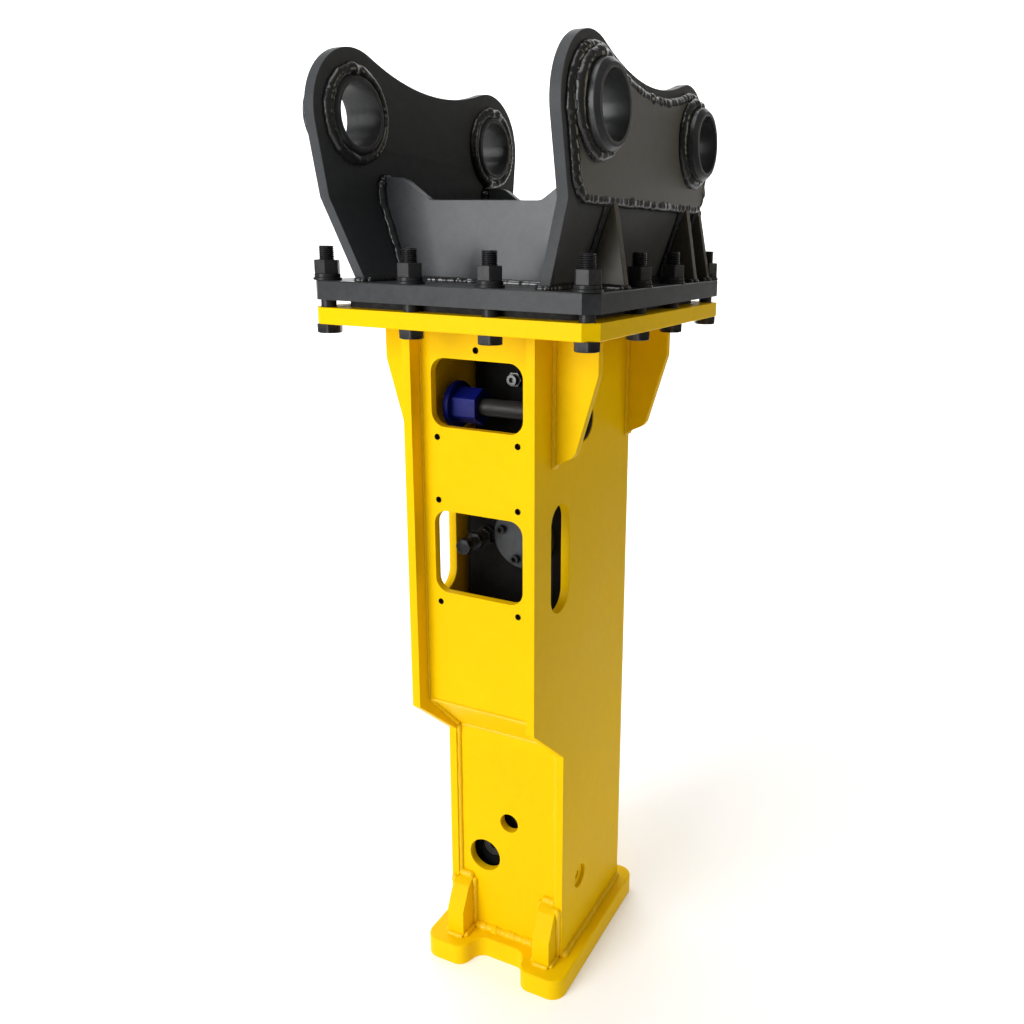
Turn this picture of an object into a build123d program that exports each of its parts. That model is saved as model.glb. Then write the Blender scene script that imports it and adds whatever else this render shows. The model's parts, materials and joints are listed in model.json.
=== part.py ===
from build123d import *
import os
from math import atan2, cos, hypot, pi, sin, sqrt

os.makedirs("parts", exist_ok=True)

# ---------------------------------------------------------------------------
# Hydraulic breaker in a box housing with a top bracket for two pins.
# Millimetres. Z up, the foot of the housing on Z = 0, X to the right, the
# cover windows face -Y. The origin is under the middle of the overall box.
# Y figures below are measured from the centre of the flanges, which lies at
# MID_Y; the three sketch planes put them in place.
# ---------------------------------------------------------------------------

MID_Y = 15.0                # centre of the flanges

# flanges
FLANGE_W = 500.0            # X
FLANGE_D = 573.0            # Y
FLANGE_CH = 20.0            # corner chamfer
FLANGE_Z0, FLANGE_Z1 = 1240.0, 1266.0     # flange of the housing
BASE_Z0, BASE_Z1 = 1278.0, 1308.0         # base plate of the bracket
BOLT_X, BOLT_Y = 228.0, 264.0             # corner bolts
BOLT_XI, BOLT_YI = 70.0, 76.0             # bolts between the corners
M24 = 24.0
M24_HOLE = 26.0
M24_AF = 36.0
HEAD_H, NUT_H, FLAT_H, SPRING_H = 15.0, 21.5, 4.0, 6.0

# bracket
EAR_T = 18.0
EAR_XI = 193.0              # inner face above the bend
EAR_XB = 151.0              # inner face at the base plate
BEND_Z = 1433.0
DOUBLER_T = 10.0
DOUBLER_IN = 24.0           # set-in of the doubler from the ear's edge
DOUBLER_Z0 = 1438.0
PIN_R = 47.5                # pin bore radius
BOSS_R = 61.0
BOSS_X0, BOSS_X1 = 180.0, 249.0
BOSS_CH = 7.0
FRONT_PIN = (-223.5, 1558.0)              # Y, Z
REAR_PIN = (176.5, 1543.5)
LOBE_F = (-219.0, 1558.0, 98.0)           # Y, Z, radius
LOBE_R = (176.5, 1543.5, 99.0)
SADDLE_R = 480.0
STIFF_Y = (-158.0, 160.0)                 # cross plates and the ribs in line
REAR_RIB_Y = 233.0
STIFF_T = 16.0
RIB_X = 242.0
CROSS_Z = 1435.0
WING_Z = 1470.0

# box housing
SIDE_X0, SIDE_X1 = 106.0, 122.0
SIDE_YU = -222.0            # front edge, upper part
SIDE_YL = -111.0            # front edge, lower part
SIDE_YB = 156.0             # back edge
STEP_ZU, STEP_ZL = 569.0, 470.0
FOOT_T = 41.0
FRONT_T = 14.0
FRONT_YU = -194.0           # front face of the upper front plate
FRONT_YL = -102.0           # front face of the lower front plate
LOWER_T = 16.0
STEP_PZU, STEP_PZL = 574.0, 480.0
BACK_Y0, BACK_Y1 = 138.0, 154.0
WIN_R = 25.0
WIN_U = (86.0, 1074.0, 1188.0)            # half width, bottom, top
WIN_L = (85.0, 784.0, 930.0)
SCREW_X = 76.0
SCREW_Z = (765.0, 948.0, 1056.0)
SCREW_R = 5.5
SLOT_Y, SLOT_Z, SLOT_W, SLOT_L = -131.0, 855.0, 66.0, 192.0
PORT_Y, PORT_Z, PORT_R = -45.0, 1080.0, 38.0
OUT_Y = -27.0
GUSSET_X = 200.0
GUSSET_T = 16.0
GUSSET_Y = (-160.0, 138.0)                # front faces
FOOT_X, FOOT_YF, FOOT_YB = 149.0, -172.0, 185.0
CLAW_X0, CLAW_X1 = 76.0, 112.0
NOSE_HOLE_R = 82.0

# breaker body
AY = 27.0                   # Y of the tool axis
BODY_X = 98.0
TOOL_R = 50.0
BUSH_R = 67.8
POCKET_R = 68.0
HEAD_Z0, HEAD_Z1 = 59.0, 470.0
CYL_Z1 = 1000.0
CYL_Y0, CYL_Y1 = -85.0, 125.0
BACK_Z1 = 1190.0
NOSE_R = 78.0
NOSE_Z0 = 6.0
RP_X, RP_Z, RP_R = -51.0, 206.0, 22.0     # tool retaining pin
LOCK_X, LOCK_Z = 3.0, 292.0
ROD_X, ROD_DY = 76.0, 60.0                # tie rods, from the tool axis
PISTON_RISE = 80.0
VALVE_X, VALVE_Z = 30.0, 868.0
ADJ_X, ADJ_Z = -47.0, 860.0
LINE_Y, LINE_Z, LINE_R = -125.0, 1100.0, 15.0
RUN = 0.3                   # gap around pieces that move


def level(z):
    """Plane parallel to XY at the given Z, its normal towards +Z."""
    return Plane(origin=(0, MID_Y, z), x_dir=(1, 0, 0), z_dir=(0, 0, 1))


def facing_front(y):
    """Plane parallel to XZ at the given Y, its normal towards -Y."""
    return Plane(origin=(0, y + MID_Y, 0), x_dir=(1, 0, 0), z_dir=(0, -1, 0))


def facing_right(x):
    """Plane parallel to YZ at the given X, its normal towards +X."""
    return Plane(origin=(x, MID_Y, 0), x_dir=(0, 1, 0), z_dir=(1, 0, 0))


def tangent_point(px, py, cx, cy, r, side):
    """Point where the line from (px, py) touches the circle; side is +1 or -1."""
    d = hypot(px - cx, py - cy)
    a = atan2(py - cy, px - cx) + side * (pi / 2 - sin_inv(r / d))
    return cx + r * cos(a), cy + r * sin(a)


def sin_inv(v):
    return atan2(v, sqrt(1 - v * v))


def circle_meet(c1, r1, c2, r2):
    """Upper meeting point of two circles given by centre and radius."""
    dx, dy = c2[0] - c1[0], c2[1] - c1[1]
    d = hypot(dx, dy)
    a = (r1 * r1 - r2 * r2 + d * d) / (2 * d)
    h = sqrt(r1 * r1 - a * a)
    mx, my = c1[0] + a * dx / d, c1[1] + a * dy / d
    p = (mx - h * dy / d, my + h * dx / d)
    q = (mx + h * dy / d, my - h * dx / d)
    return p if p[1] > q[1] else q


def on_circle(c, r, p, q, up):
    """Point of the circle halfway round from p to q, on the upper or lower side."""
    mx, my = (p[0] + q[0]) / 2 - c[0], (p[1] + q[1]) / 2 - c[1]
    d = hypot(mx, my)
    s = 1 if (my > 0) == up else -1
    return c[0] + s * mx / d * r, c[1] + s * my / d * r


# the ear's outline in YZ: two lobes, a saddle between them, straight edges down
FC, RC = LOBE_F[:2], LOBE_R[:2]
SAD = circle_meet(FC, SADDLE_R + LOBE_F[2], RC, SADDLE_R + LOBE_R[2])
T1 = tuple(f + LOBE_F[2] * (s - f) / (SADDLE_R + LOBE_F[2]) for f, s in zip(FC, SAD))
T2 = tuple(f + LOBE_R[2] * (s - f) / (SADDLE_R + LOBE_R[2]) for f, s in zip(RC, SAD))
EF1, EF0 = (-292.5, BEND_Z), (-267.0, BASE_Z1)
ER1, ER0 = (262.0, BEND_Z), (250.0, BASE_Z1)
TF = tangent_point(*EF1, *FC, LOBE_F[2], -1)
TR = tangent_point(*ER1, *RC, LOBE_R[2], 1)
FM = (FC[0] - LOBE_F[2] * 0.62, FC[1] + LOBE_F[2] * sqrt(1 - 0.62 ** 2))
RM = (RC[0] + LOBE_R[2] * 0.62, RC[1] + LOBE_R[2] * sqrt(1 - 0.62 ** 2))
SM = (SAD[0], SAD[1] - SADDLE_R)

BOLT_SPOTS = [(sx * BOLT_X, sy * BOLT_Y) for sx in (-1, 1) for sy in (-1, 1)]
BOLT_SPOTS += [(sx * BOLT_XI, sy * BOLT_Y) for sx in (-1, 1) for sy in (-1, 1)]
BOLT_SPOTS += [(sx * BOLT_X, sy * BOLT_YI) for sx in (-1, 1) for sy in (-1, 1)]
ROD_SPOTS = [(sx * ROD_X, AY + sy * ROD_DY) for sx in (-1, 1) for sy in (-1, 1)]

# ---------------------------------------------------------------------------
# Bracket
# ---------------------------------------------------------------------------

with BuildPart() as base_plate:
    with BuildSketch(level(BASE_Z0)):
        Rectangle(FLANGE_W, FLANGE_D)
    extrude(amount=BASE_Z1 - BASE_Z0)
    chamfer(base_plate.edges().filter_by(Axis.Z), length=FLANGE_CH)
    chamfer(base_plate.faces().sort_by(Axis.Z)[-1].edges(), length=1.5)
    with BuildSketch(level(BASE_Z0)):
        with Locations(*BOLT_SPOTS):
            Circle(M24_HOLE / 2)
    extrude(amount=BASE_Z1 - BASE_Z0, mode=Mode.SUBTRACT)
base_plate.part.label = "bracket_base_plate"
export_step(base_plate.part, "parts/bracket_base_plate.step")

for side, s in (("left", -1), ("right", 1)):
    # ear: a plate bent at BEND_Z, cut to its outline
    with BuildPart() as ear:
        with BuildSketch(facing_front(330)):
            Polygon((s * EAR_XB, BASE_Z1), (s * (EAR_XB + EAR_T), BASE_Z1),
                    (s * (EAR_XI + EAR_T), BEND_Z), (s * (EAR_XI + EAR_T), 1700),
                    (s * EAR_XI, 1700), (s * EAR_XI, BEND_Z), align=None)
        extrude(amount=700)
        with BuildSketch(facing_right(-300)):
            with BuildLine():
                Line(EF0, EF1)
                Line(EF1, TF)
                ThreePointArc(TF, FM, T1)
                ThreePointArc(T1, SM, T2)
                ThreePointArc(T2, RM, TR)
                Line(TR, ER1)
                Line(ER1, ER0)
                Line(ER0, EF0)
            make_face()
            with Locations(FRONT_PIN, REAR_PIN):
                Circle(BOSS_R + 0.2, mode=Mode.SUBTRACT)
        extrude(amount=600, mode=Mode.INTERSECT)
    ear.part.label = "ear_" + side
    export_step(ear.part, "parts/ear_%s.step" % side)

    # doubler on the ear's outer face, the same outline set in
    x0 = EAR_XI + EAR_T
    with BuildPart() as doubler:
        with BuildSketch(facing_right(x0 if s > 0 else -x0 - DOUBLER_T)) as ds:
            with BuildLine():
                a = tangent_point(EF1[0] + DOUBLER_IN - 2, DOUBLER_Z0, *FC, LOBE_F[2] - DOUBLER_IN, -1)
                b = tangent_point(ER1[0] - DOUBLER_IN + 2, DOUBLER_Z0, *RC, LOBE_R[2] - DOUBLER_IN, 1)
                rf, rr, rs = LOBE_F[2] - DOUBLER_IN, LOBE_R[2] - DOUBLER_IN, SADDLE_R + DOUBLER_IN
                t1 = tuple(f + rf * (q - f) / (SADDLE_R + LOBE_F[2]) for f, q in zip(FC, SAD))
                t2 = tuple(f + rr * (q - f) / (SADDLE_R + LOBE_R[2]) for f, q in zip(RC, SAD))
                Line((EF1[0] + DOUBLER_IN - 2, DOUBLER_Z0), a)
                ThreePointArc(a, (FC[0] - rf * 0.62, FC[1] + rf * sqrt(1 - 0.62 ** 2)), t1)
                ThreePointArc(t1, (SAD[0], SAD[1] - rs), t2)
                ThreePointArc(t2, (RC[0] + rr * 0.62, RC[1] + rr * sqrt(1 - 0.62 ** 2)), b)
                Line(b, (ER1[0] - DOUBLER_IN + 2, DOUBLER_Z0))
                Line((ER1[0] - DOUBLER_IN + 2, DOUBLER_Z0), (EF1[0] + DOUBLER_IN - 2, DOUBLER_Z0))
            make_face()
            fillet(ds.vertices().group_by(Axis.Y)[0], radius=34)
            with Locations(FRONT_PIN, REAR_PIN):
                Circle(BOSS_R + 0.2, mode=Mode.SUBTRACT)
        extrude(amount=DOUBLER_T)
    doubler.part.label = "ear_doubler_" + side
    export_step(doubler.part, "parts/ear_doubler_%s.step" % side)

    # pin bosses, through the ear and the doubler
    for place, (py, pz) in (("front", FRONT_PIN), ("rear", REAR_PIN)):
        with BuildPart() as boss:
            with BuildSketch(facing_right(BOSS_X0 if s > 0 else -BOSS_X1)):
                with Locations((py, pz)):
                    Circle(BOSS_R)
            extrude(amount=BOSS_X1 - BOSS_X0)
            chamfer(boss.edges().filter_by(GeomType.CIRCLE), length=BOSS_CH)
            with BuildSketch(facing_right(BOSS_X0 if s > 0 else -BOSS_X1)):
                with Locations((py, pz)):
                    Circle(PIN_R)
            extrude(amount=BOSS_X1 - BOSS_X0, mode=Mode.SUBTRACT)
        boss.part.label = "pin_boss_%s_%s" % (place, side)
        export_step(boss.part, "parts/pin_boss_%s_%s.step" % (place, side))

    # outer ribs of the ear, in line with the cross plates and at the rear edge
    with BuildPart() as ribs:
        for y in STIFF_Y + (REAR_RIB_Y,):
            t = STIFF_T if y != REAR_RIB_Y else 14.0
            top = DOUBLER_Z0 - 1
            xo = EAR_XI + EAR_T + (DOUBLER_T if y != REAR_RIB_Y else 7.0)
            with BuildSketch(facing_front(y + t / 2)):
                Polygon((s * (EAR_XB + EAR_T), BASE_Z1), (s * (EAR_XI + EAR_T), BEND_Z),
                        (s * (EAR_XI + EAR_T), top), (s * xo, top),
                        (s * RIB_X, BASE_Z1 + 8), (s * RIB_X, BASE_Z1), align=None)
            extrude(amount=t)
    ribs.part.label = "ear_ribs_" + side
    export_step(ribs.part, "parts/ear_ribs_%s.step" % side)

# cross plates between the ears, their wings rising along the ears
for place, y in zip(("front", "rear"), STIFF_Y):
    with BuildPart() as cross:
        with BuildSketch(facing_front(y + STIFF_T / 2)) as cs:
            Polygon((-EAR_XB, BASE_Z1), (EAR_XB, BASE_Z1), (EAR_XI, BEND_Z), (EAR_XI, WING_Z - 4),
                    (EAR_XI - 8, WING_Z), (EAR_XI - 42, WING_Z), (EAR_XI - 92, CROSS_Z),
                    (-EAR_XI + 92, CROSS_Z), (-EAR_XI + 42, WING_Z), (-EAR_XI + 8, WING_Z),
                    (-EAR_XI, WING_Z - 4), (-EAR_XI, BEND_Z), align=None)
            fillet(cs.vertices().filter_by(lambda v: abs(abs(v.X) - (EAR_XI - 42)) < 1), radius=45)
            fillet(cs.vertices().filter_by(lambda v: abs(abs(v.X) - (EAR_XI - 92)) < 1), radius=22)
        extrude(amount=STIFF_T)
    cross.part.label = "cross_plate_" + place
    export_step(cross.part, "parts/cross_plate_%s.step" % place)

# ---------------------------------------------------------------------------
# Flange joint
# ---------------------------------------------------------------------------

STUD_TOP = BASE_Z1 + 53.0
with BuildPart() as flange_bolts:
    with BuildSketch(level(FLANGE_Z0 - HEAD_H)):
        with Locations(*BOLT_SPOTS):
            RegularPolygon(radius=M24_AF / sqrt(3), side_count=6)
    extrude(amount=HEAD_H)
    chamfer(flange_bolts.faces().group_by(Axis.Z)[0].edges(), length=1.8)
    with BuildSketch(level(FLANGE_Z0)):
        with Locations(*BOLT_SPOTS):
            Circle(M24 / 2)
    extrude(amount=STUD_TOP - FLANGE_Z0)
    chamfer(flange_bolts.faces().group_by(Axis.Z)[-1].edges(), length=2.2)
flange_bolts.part.label = "flange_bolts"
export_step(flange_bolts.part, "parts/flange_bolts.step")

with BuildPart() as flat_washers:
    with BuildSketch(level(BASE_Z1)):
        with Locations(*BOLT_SPOTS):
            Circle(22)
            Circle(M24 / 2 + 0.5, mode=Mode.SUBTRACT)
    extrude(amount=FLAT_H)
flat_washers.part.label = "flat_washers"
export_step(flat_washers.part, "parts/flat_washers.step")

with BuildPart() as spring_washers:
    with BuildSketch(level(BASE_Z1 + FLAT_H)):
        with Locations(*BOLT_SPOTS):
            Circle(20)
            Circle(M24 / 2 + 0.4, mode=Mode.SUBTRACT)
            with Locations((16.5, 0)):
                Rectangle(12, 2.4, rotation=0, mode=Mode.SUBTRACT)
    extrude(amount=SPRING_H)
spring_washers.part.label = "spring_washers"
export_step(spring_washers.part, "parts/spring_washers.step")

NUT_Z0 = BASE_Z1 + FLAT_H + SPRING_H
with BuildPart() as flange_nuts:
    with BuildSketch(level(NUT_Z0)):
        with Locations(*BOLT_SPOTS):
            RegularPolygon(radius=M24_AF / sqrt(3), side_count=6)
    extrude(amount=NUT_H)
    with BuildSketch(level(NUT_Z0)):
        with Locations(*BOLT_SPOTS):
            Circle(M24_AF / sqrt(3) - 0.5)
    extrude(amount=NUT_H, taper=0, mode=Mode.INTERSECT)
    with BuildSketch(level(NUT_Z0)):
        with Locations(*BOLT_SPOTS):
            Circle(M24 / 2 + 0.2)
    extrude(amount=NUT_H, mode=Mode.SUBTRACT)
flange_nuts.part.label = "flange_nuts"
export_step(flange_nuts.part, "parts/flange_nuts.step")

with BuildPart() as top_pad:
    with BuildSketch(level(FLANGE_Z1)):
        Rectangle(2 * 213, 2 * 249)
    extrude(amount=BASE_Z0 - FLANGE_Z1)
    fillet(top_pad.edges().filter_by(Axis.Z), radius=30)
top_pad.part.label = "top_buffer_pad"
export_step(top_pad.part, "parts/top_buffer_pad.step")

# ---------------------------------------------------------------------------
# Box housing
# ---------------------------------------------------------------------------

INNER_Y0 = FRONT_YU + FRONT_T
with BuildPart() as top_flange:
    with BuildSketch(level(FLANGE_Z0)):
        Rectangle(FLANGE_W, FLANGE_D)
    extrude(amount=FLANGE_Z1 - FLANGE_Z0)
    chamfer(top_flange.edges().filter_by(Axis.Z), length=FLANGE_CH)
    chamfer(top_flange.faces().sort_by(Axis.Z)[0].edges(), length=1.5)
    with BuildSketch(level(FLANGE_Z0)):
        with Locations(*BOLT_SPOTS):
            Circle(M24_HOLE / 2)
        with Locations((0, (INNER_Y0 + BACK_Y0) / 2)):
            Rectangle(2 * SIDE_X0 - 4, BACK_Y0 - INNER_Y0 - 4)
    extrude(amount=FLANGE_Z1 - FLANGE_Z0, mode=Mode.SUBTRACT)
top_flange.part.label = "housing_top_flange"
export_step(top_flange.part, "parts/housing_top_flange.step")

ACCESS_Y, ACCESS_Z, ACCESS_R = -34.0, 170.0, 22.0
for side, s in (("left", -1), ("right", 1)):
    xs = SIDE_X0 if s > 0 else -SIDE_X1
    with BuildPart() as side_plate:
        with BuildSketch(facing_right(xs)):
            Polygon((SIDE_YL, FOOT_T), (SIDE_YB, FOOT_T), (SIDE_YB, FLANGE_Z0), (SIDE_YU, FLANGE_Z0),
                    (SIDE_YU, STEP_ZU), (SIDE_YL, STEP_ZL), align=None)
            with Locations((SLOT_Y, SLOT_Z)):
                SlotOverall(SLOT_L, SLOT_W, rotation=90, mode=Mode.SUBTRACT)
            if s > 0:
                with Locations((PORT_Y, PORT_Z)):
                    Circle(PORT_R, mode=Mode.SUBTRACT)
                with Locations((ACCESS_Y, ACCESS_Z)):
                    Circle(ACCESS_R, mode=Mode.SUBTRACT)
        extrude(amount=SIDE_X1 - SIDE_X0)
    side_plate.part.label = "side_plate_" + side
    export_step(side_plate.part, "parts/side_plate_%s.step" % side)

    # brackets under the flange, standing square on the side plate
    with BuildPart() as gussets:
        for y in GUSSET_Y:
            with BuildSketch(facing_front(y)) as gs:
                Polygon((s * SIDE_X1, FLANGE_Z0), (s * GUSSET_X, FLANGE_Z0), (s * GUSSET_X, 1175),
                        (s * 160, 1040), (s * 138, 1030), (s * SIDE_X1, 1020), align=None)
                fillet(gs.vertices().filter_by(lambda v: abs(abs(v.X) - 160) < 1), radius=26)
                fillet(gs.vertices().filter_by(lambda v: abs(abs(v.X) - GUSSET_X) < 1 and v.Y < 1200), radius=20)
            extrude(amount=-GUSSET_T)
    gussets.part.label = "flange_gussets_" + side
    export_step(gussets.part, "parts/flange_gussets_%s.step" % side)

    # claw on the front of the foot
    with BuildPart() as claw:
        with BuildSketch(facing_right(CLAW_X0 if s > 0 else -CLAW_X1)):
            Polygon((FRONT_YL, FOOT_T), (-145, FOOT_T), (-145, 94), (-123, 140), (-114, 147), (FRONT_YL, 152),
                    align=None)
        extrude(amount=CLAW_X1 - CLAW_X0)
        with BuildSketch(facing_right(SIDE_X0 if s > 0 else -CLAW_X1)):
            Polygon((SIDE_YL, 0), (0, 0), (0, 200), (SIDE_YL, 200), align=None)
        extrude(amount=CLAW_X1 - SIDE_X0, mode=Mode.SUBTRACT)
    claw.part.label = "claw_" + side
    export_step(claw.part, "parts/claw_%s.step" % side)

with BuildPart() as front_upper:
    with BuildSketch(facing_front(FRONT_YU)) as fu:
        with Locations((0, (STEP_PZU + FLANGE_Z0) / 2)):
            Rectangle(2 * SIDE_X0, FLANGE_Z0 - STEP_PZU)
        for hw, z0, z1 in (WIN_U, WIN_L):
            with Locations((0, (z0 + z1) / 2)):
                RectangleRounded(2 * hw, z1 - z0, WIN_R, mode=Mode.SUBTRACT)
        with Locations(*[(sx * SCREW_X, z) for sx in (-1, 1) for z in SCREW_Z], (0, 1204)):
            Circle(SCREW_R, mode=Mode.SUBTRACT)
    extrude(amount=-FRONT_T)
front_upper.part.label = "front_plate_upper"
export_step(front_upper.part, "parts/front_plate_upper.step")

# sloping plate between the two front plates
with BuildPart() as front_step:
    with BuildSketch(facing_right(-SIDE_X0)):
        Polygon((FRONT_YU, STEP_PZU), (FRONT_YU + FRONT_T, STEP_PZU), (FRONT_YL + LOWER_T, STEP_PZL + 6),
                (FRONT_YL + LOWER_T, STEP_PZL), (FRONT_YL, STEP_PZL), align=None)
    extrude(amount=2 * SIDE_X0)
front_step.part.label = "front_plate_step"
export_step(front_step.part, "parts/front_plate_step.step")

with BuildPart() as front_lower:
    with BuildSketch(facing_front(FRONT_YL)):
        with Locations((0, (FOOT_T + STEP_PZL) / 2)):
            Rectangle(2 * SIDE_X0, STEP_PZL - FOOT_T)
        with Locations((RP_X, RP_Z)):
            Circle(33, mode=Mode.SUBTRACT)
        with Locations((LOCK_X, LOCK_Z)):
            Circle(19, mode=Mode.SUBTRACT)
    extrude(amount=-LOWER_T)
front_lower.part.label = "front_plate_lower"
export_step(front_lower.part, "parts/front_plate_lower.step")

with BuildPart() as back_plate:
    with BuildSketch(facing_front(BACK_Y0)):
        with Locations((0, (FOOT_T + FLANGE_Z0) / 2)):
            Rectangle(2 * SIDE_X0, FLANGE_Z0 - FOOT_T)
    extrude(amount=-(BACK_Y1 - BACK_Y0))
back_plate.part.label = "back_plate"
export_step(back_plate.part, "parts/back_plate.step")

with BuildPart() as foot:
    with BuildSketch(level(0)) as fs:
        Polygon((-FOOT_X, FOOT_YF), (-62, FOOT_YF), (-50, -128), (50, -128), (62, FOOT_YF), (FOOT_X, FOOT_YF),
                (FOOT_X, FOOT_YB), (-FOOT_X, FOOT_YB), align=None)
        fillet(fs.vertices().filter_by(lambda v: abs(abs(v.X) - FOOT_X) < 1), radius=28)
        fillet(fs.vertices().filter_by(lambda v: abs(abs(v.X) - 62) < 1), radius=24)
        fillet(fs.vertices().filter_by(lambda v: abs(abs(v.X) - 50) < 1 and abs(v.Y + 128) < 1), radius=26)
    extrude(amount=FOOT_T)
    chamfer(foot.faces().sort_by(Axis.Z)[-1].edges(), length=2)
    with BuildSketch(level(0)):
        with Locations((0, AY)):
            Circle(NOSE_HOLE_R)
    extrude(amount=FOOT_T, mode=Mode.SUBTRACT)
foot.part.label = "bottom_plate"
export_step(foot.part, "parts/bottom_plate.step")

with BuildPart() as access_plug:
    with BuildSketch(facing_right(SIDE_X0)):
        with Locations((ACCESS_Y, ACCESS_Z)):
            Circle(ACCESS_R - 0.2)
    extrude(amount=9)
    with BuildSketch(facing_right(SIDE_X0 + 9)):
        with Locations((ACCESS_Y, ACCESS_Z)):
            RegularPolygon(radius=9, side_count=6)
    extrude(amount=-5, mode=Mode.SUBTRACT)
access_plug.part.label = "access_plug"
export_step(access_plug.part, "parts/access_plug.step")

# ---------------------------------------------------------------------------
# Breaker body
# ---------------------------------------------------------------------------

with BuildPart() as cushion:
    with BuildSketch(level(FOOT_T)):
        with Locations((0, 26)):
            RectangleRounded(2 * 100, 212, 12)
        with Locations((0, AY)):
            Circle(NOSE_HOLE_R, mode=Mode.SUBTRACT)
    extrude(amount=HEAD_Z0 - FOOT_T)
cushion.part.label = "bottom_cushion"
export_step(cushion.part, "parts/bottom_cushion.step")

with BuildPart() as front_head:
    with BuildSketch(level(HEAD_Z0)):
        with Locations((0, AY)):
            Rectangle(2 * BODY_X, 2 * BODY_X)
    extrude(amount=HEAD_Z1 - HEAD_Z0)
    chamfer(front_head.edges().filter_by(Axis.Z), length=12)
    with BuildSketch(level(NOSE_Z0)):
        with Locations((0, AY)):
            Circle(NOSE_R)
    extrude(amount=HEAD_Z0 - NOSE_Z0)
    for z, h, r in ((NOSE_Z0, 144, POCKET_R), (150, 90, TOOL_R + 1.5), (240, 230, POCKET_R)):
        with BuildSketch(level(z)):
            with Locations((0, AY)):
                Circle(r)
        extrude(amount=h, mode=Mode.SUBTRACT)
    with BuildSketch(facing_front(AY - BODY_X)):
        with Locations((RP_X, RP_Z)):
            Circle(RP_R + RUN)
    extrude(amount=-2 * BODY_X, mode=Mode.SUBTRACT)
    with BuildSketch(facing_front(AY - BODY_X)):
        with Locations((LOCK_X, LOCK_Z)):
            Circle(12)
    extrude(amount=-50, mode=Mode.SUBTRACT)
    with BuildSketch(level(365)):
        with Locations(*ROD_SPOTS):
            Circle(M24 / 2 + 0.3)
    extrude(amount=HEAD_Z1 - 365, mode=Mode.SUBTRACT)
    with BuildSketch(facing_right(BODY_X)):
        with Locations((ACCESS_Y, ACCESS_Z)):
            Circle(5)
    extrude(amount=-30, mode=Mode.SUBTRACT)
front_head.part.label = "front_head"
export_step(front_head.part, "parts/front_head.step")

with BuildPart() as grease_nipple:
    with BuildSketch(facing_right(BODY_X - 12)):
        with Locations((ACCESS_Y, ACCESS_Z)):
            Circle(4.8)
    extrude(amount=12)
    with BuildSketch(facing_right(BODY_X)):
        with Locations((ACCESS_Y, ACCESS_Z)):
            RegularPolygon(radius=6.5, side_count=6)
    extrude(amount=3)
    with BuildSketch(facing_right(BODY_X + 3)):
        with Locations((ACCESS_Y, ACCESS_Z)):
            Circle(3)
    extrude(amount=3.5)
grease_nipple.part.label = "grease_nipple"
export_step(grease_nipple.part, "parts/grease_nipple.step")

with BuildPart() as lower_bush:
    with BuildSketch(level(NOSE_Z0)):
        with Locations((0, AY)):
            Circle(BUSH_R)
    extrude(amount=144)
    chamfer(lower_bush.edges().filter_by(GeomType.CIRCLE), length=2)
    with BuildSketch(level(NOSE_Z0)):
        with Locations((0, AY)):
            Circle(TOOL_R)
    extrude(amount=144, mode=Mode.SUBTRACT)
lower_bush.part.label = "lower_tool_bush"
export_step(lower_bush.part, "parts/lower_tool_bush.step")

with BuildPart() as thrust_bush:
    with BuildSketch(level(240)):
        with Locations((0, AY)):
            Circle(BUSH_R)
            Circle(TOOL_R + 0.5, mode=Mode.SUBTRACT)
    extrude(amount=90)
    with BuildSketch(facing_front(AY - 60)):
        with Locations((LOCK_X, LOCK_Z)):
            Circle(12)
    extrude(amount=20, mode=Mode.SUBTRACT)
thrust_bush.part.label = "thrust_bush"
export_step(thrust_bush.part, "parts/thrust_bush.step")

with BuildPart() as lock_pin:
    with BuildSketch(facing_front(AY - BODY_X + 3)):
        with Locations((LOCK_X, LOCK_Z)):
            Circle(11.8)
    extrude(amount=-32)
    chamfer(lock_pin.edges().filter_by(GeomType.CIRCLE), length=1.5)
lock_pin.part.label = "bush_lock_pin"
export_step(lock_pin.part, "parts/bush_lock_pin.step")

with BuildPart() as retaining_pin:
    with BuildSketch(facing_front(AY - BODY_X + 8)):
        with Locations((RP_X, RP_Z)):
            Circle(RP_R)
    extrude(amount=-(2 * BODY_X - 14))
    chamfer(retaining_pin.edges().filter_by(GeomType.CIRCLE), length=3)
    with BuildSketch(facing_front(AY - BODY_X + 8)):
        with Locations((RP_X, RP_Z)):
            Circle(6)
    extrude(amount=-24, mode=Mode.SUBTRACT)
retaining_pin.part.label = "retaining_pin"
export_step(retaining_pin.part, "parts/retaining_pin.step")

with BuildPart() as pin_plug:
    with BuildSketch(facing_front(AY - BODY_X + 1)):
        with Locations((RP_X, RP_Z)):
            Circle(RP_R - 0.3)
            Circle(7, mode=Mode.SUBTRACT)
    extrude(amount=-7)
pin_plug.part.label = "retaining_pin_plug"
export_step(pin_plug.part, "parts/retaining_pin_plug.step")

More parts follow.
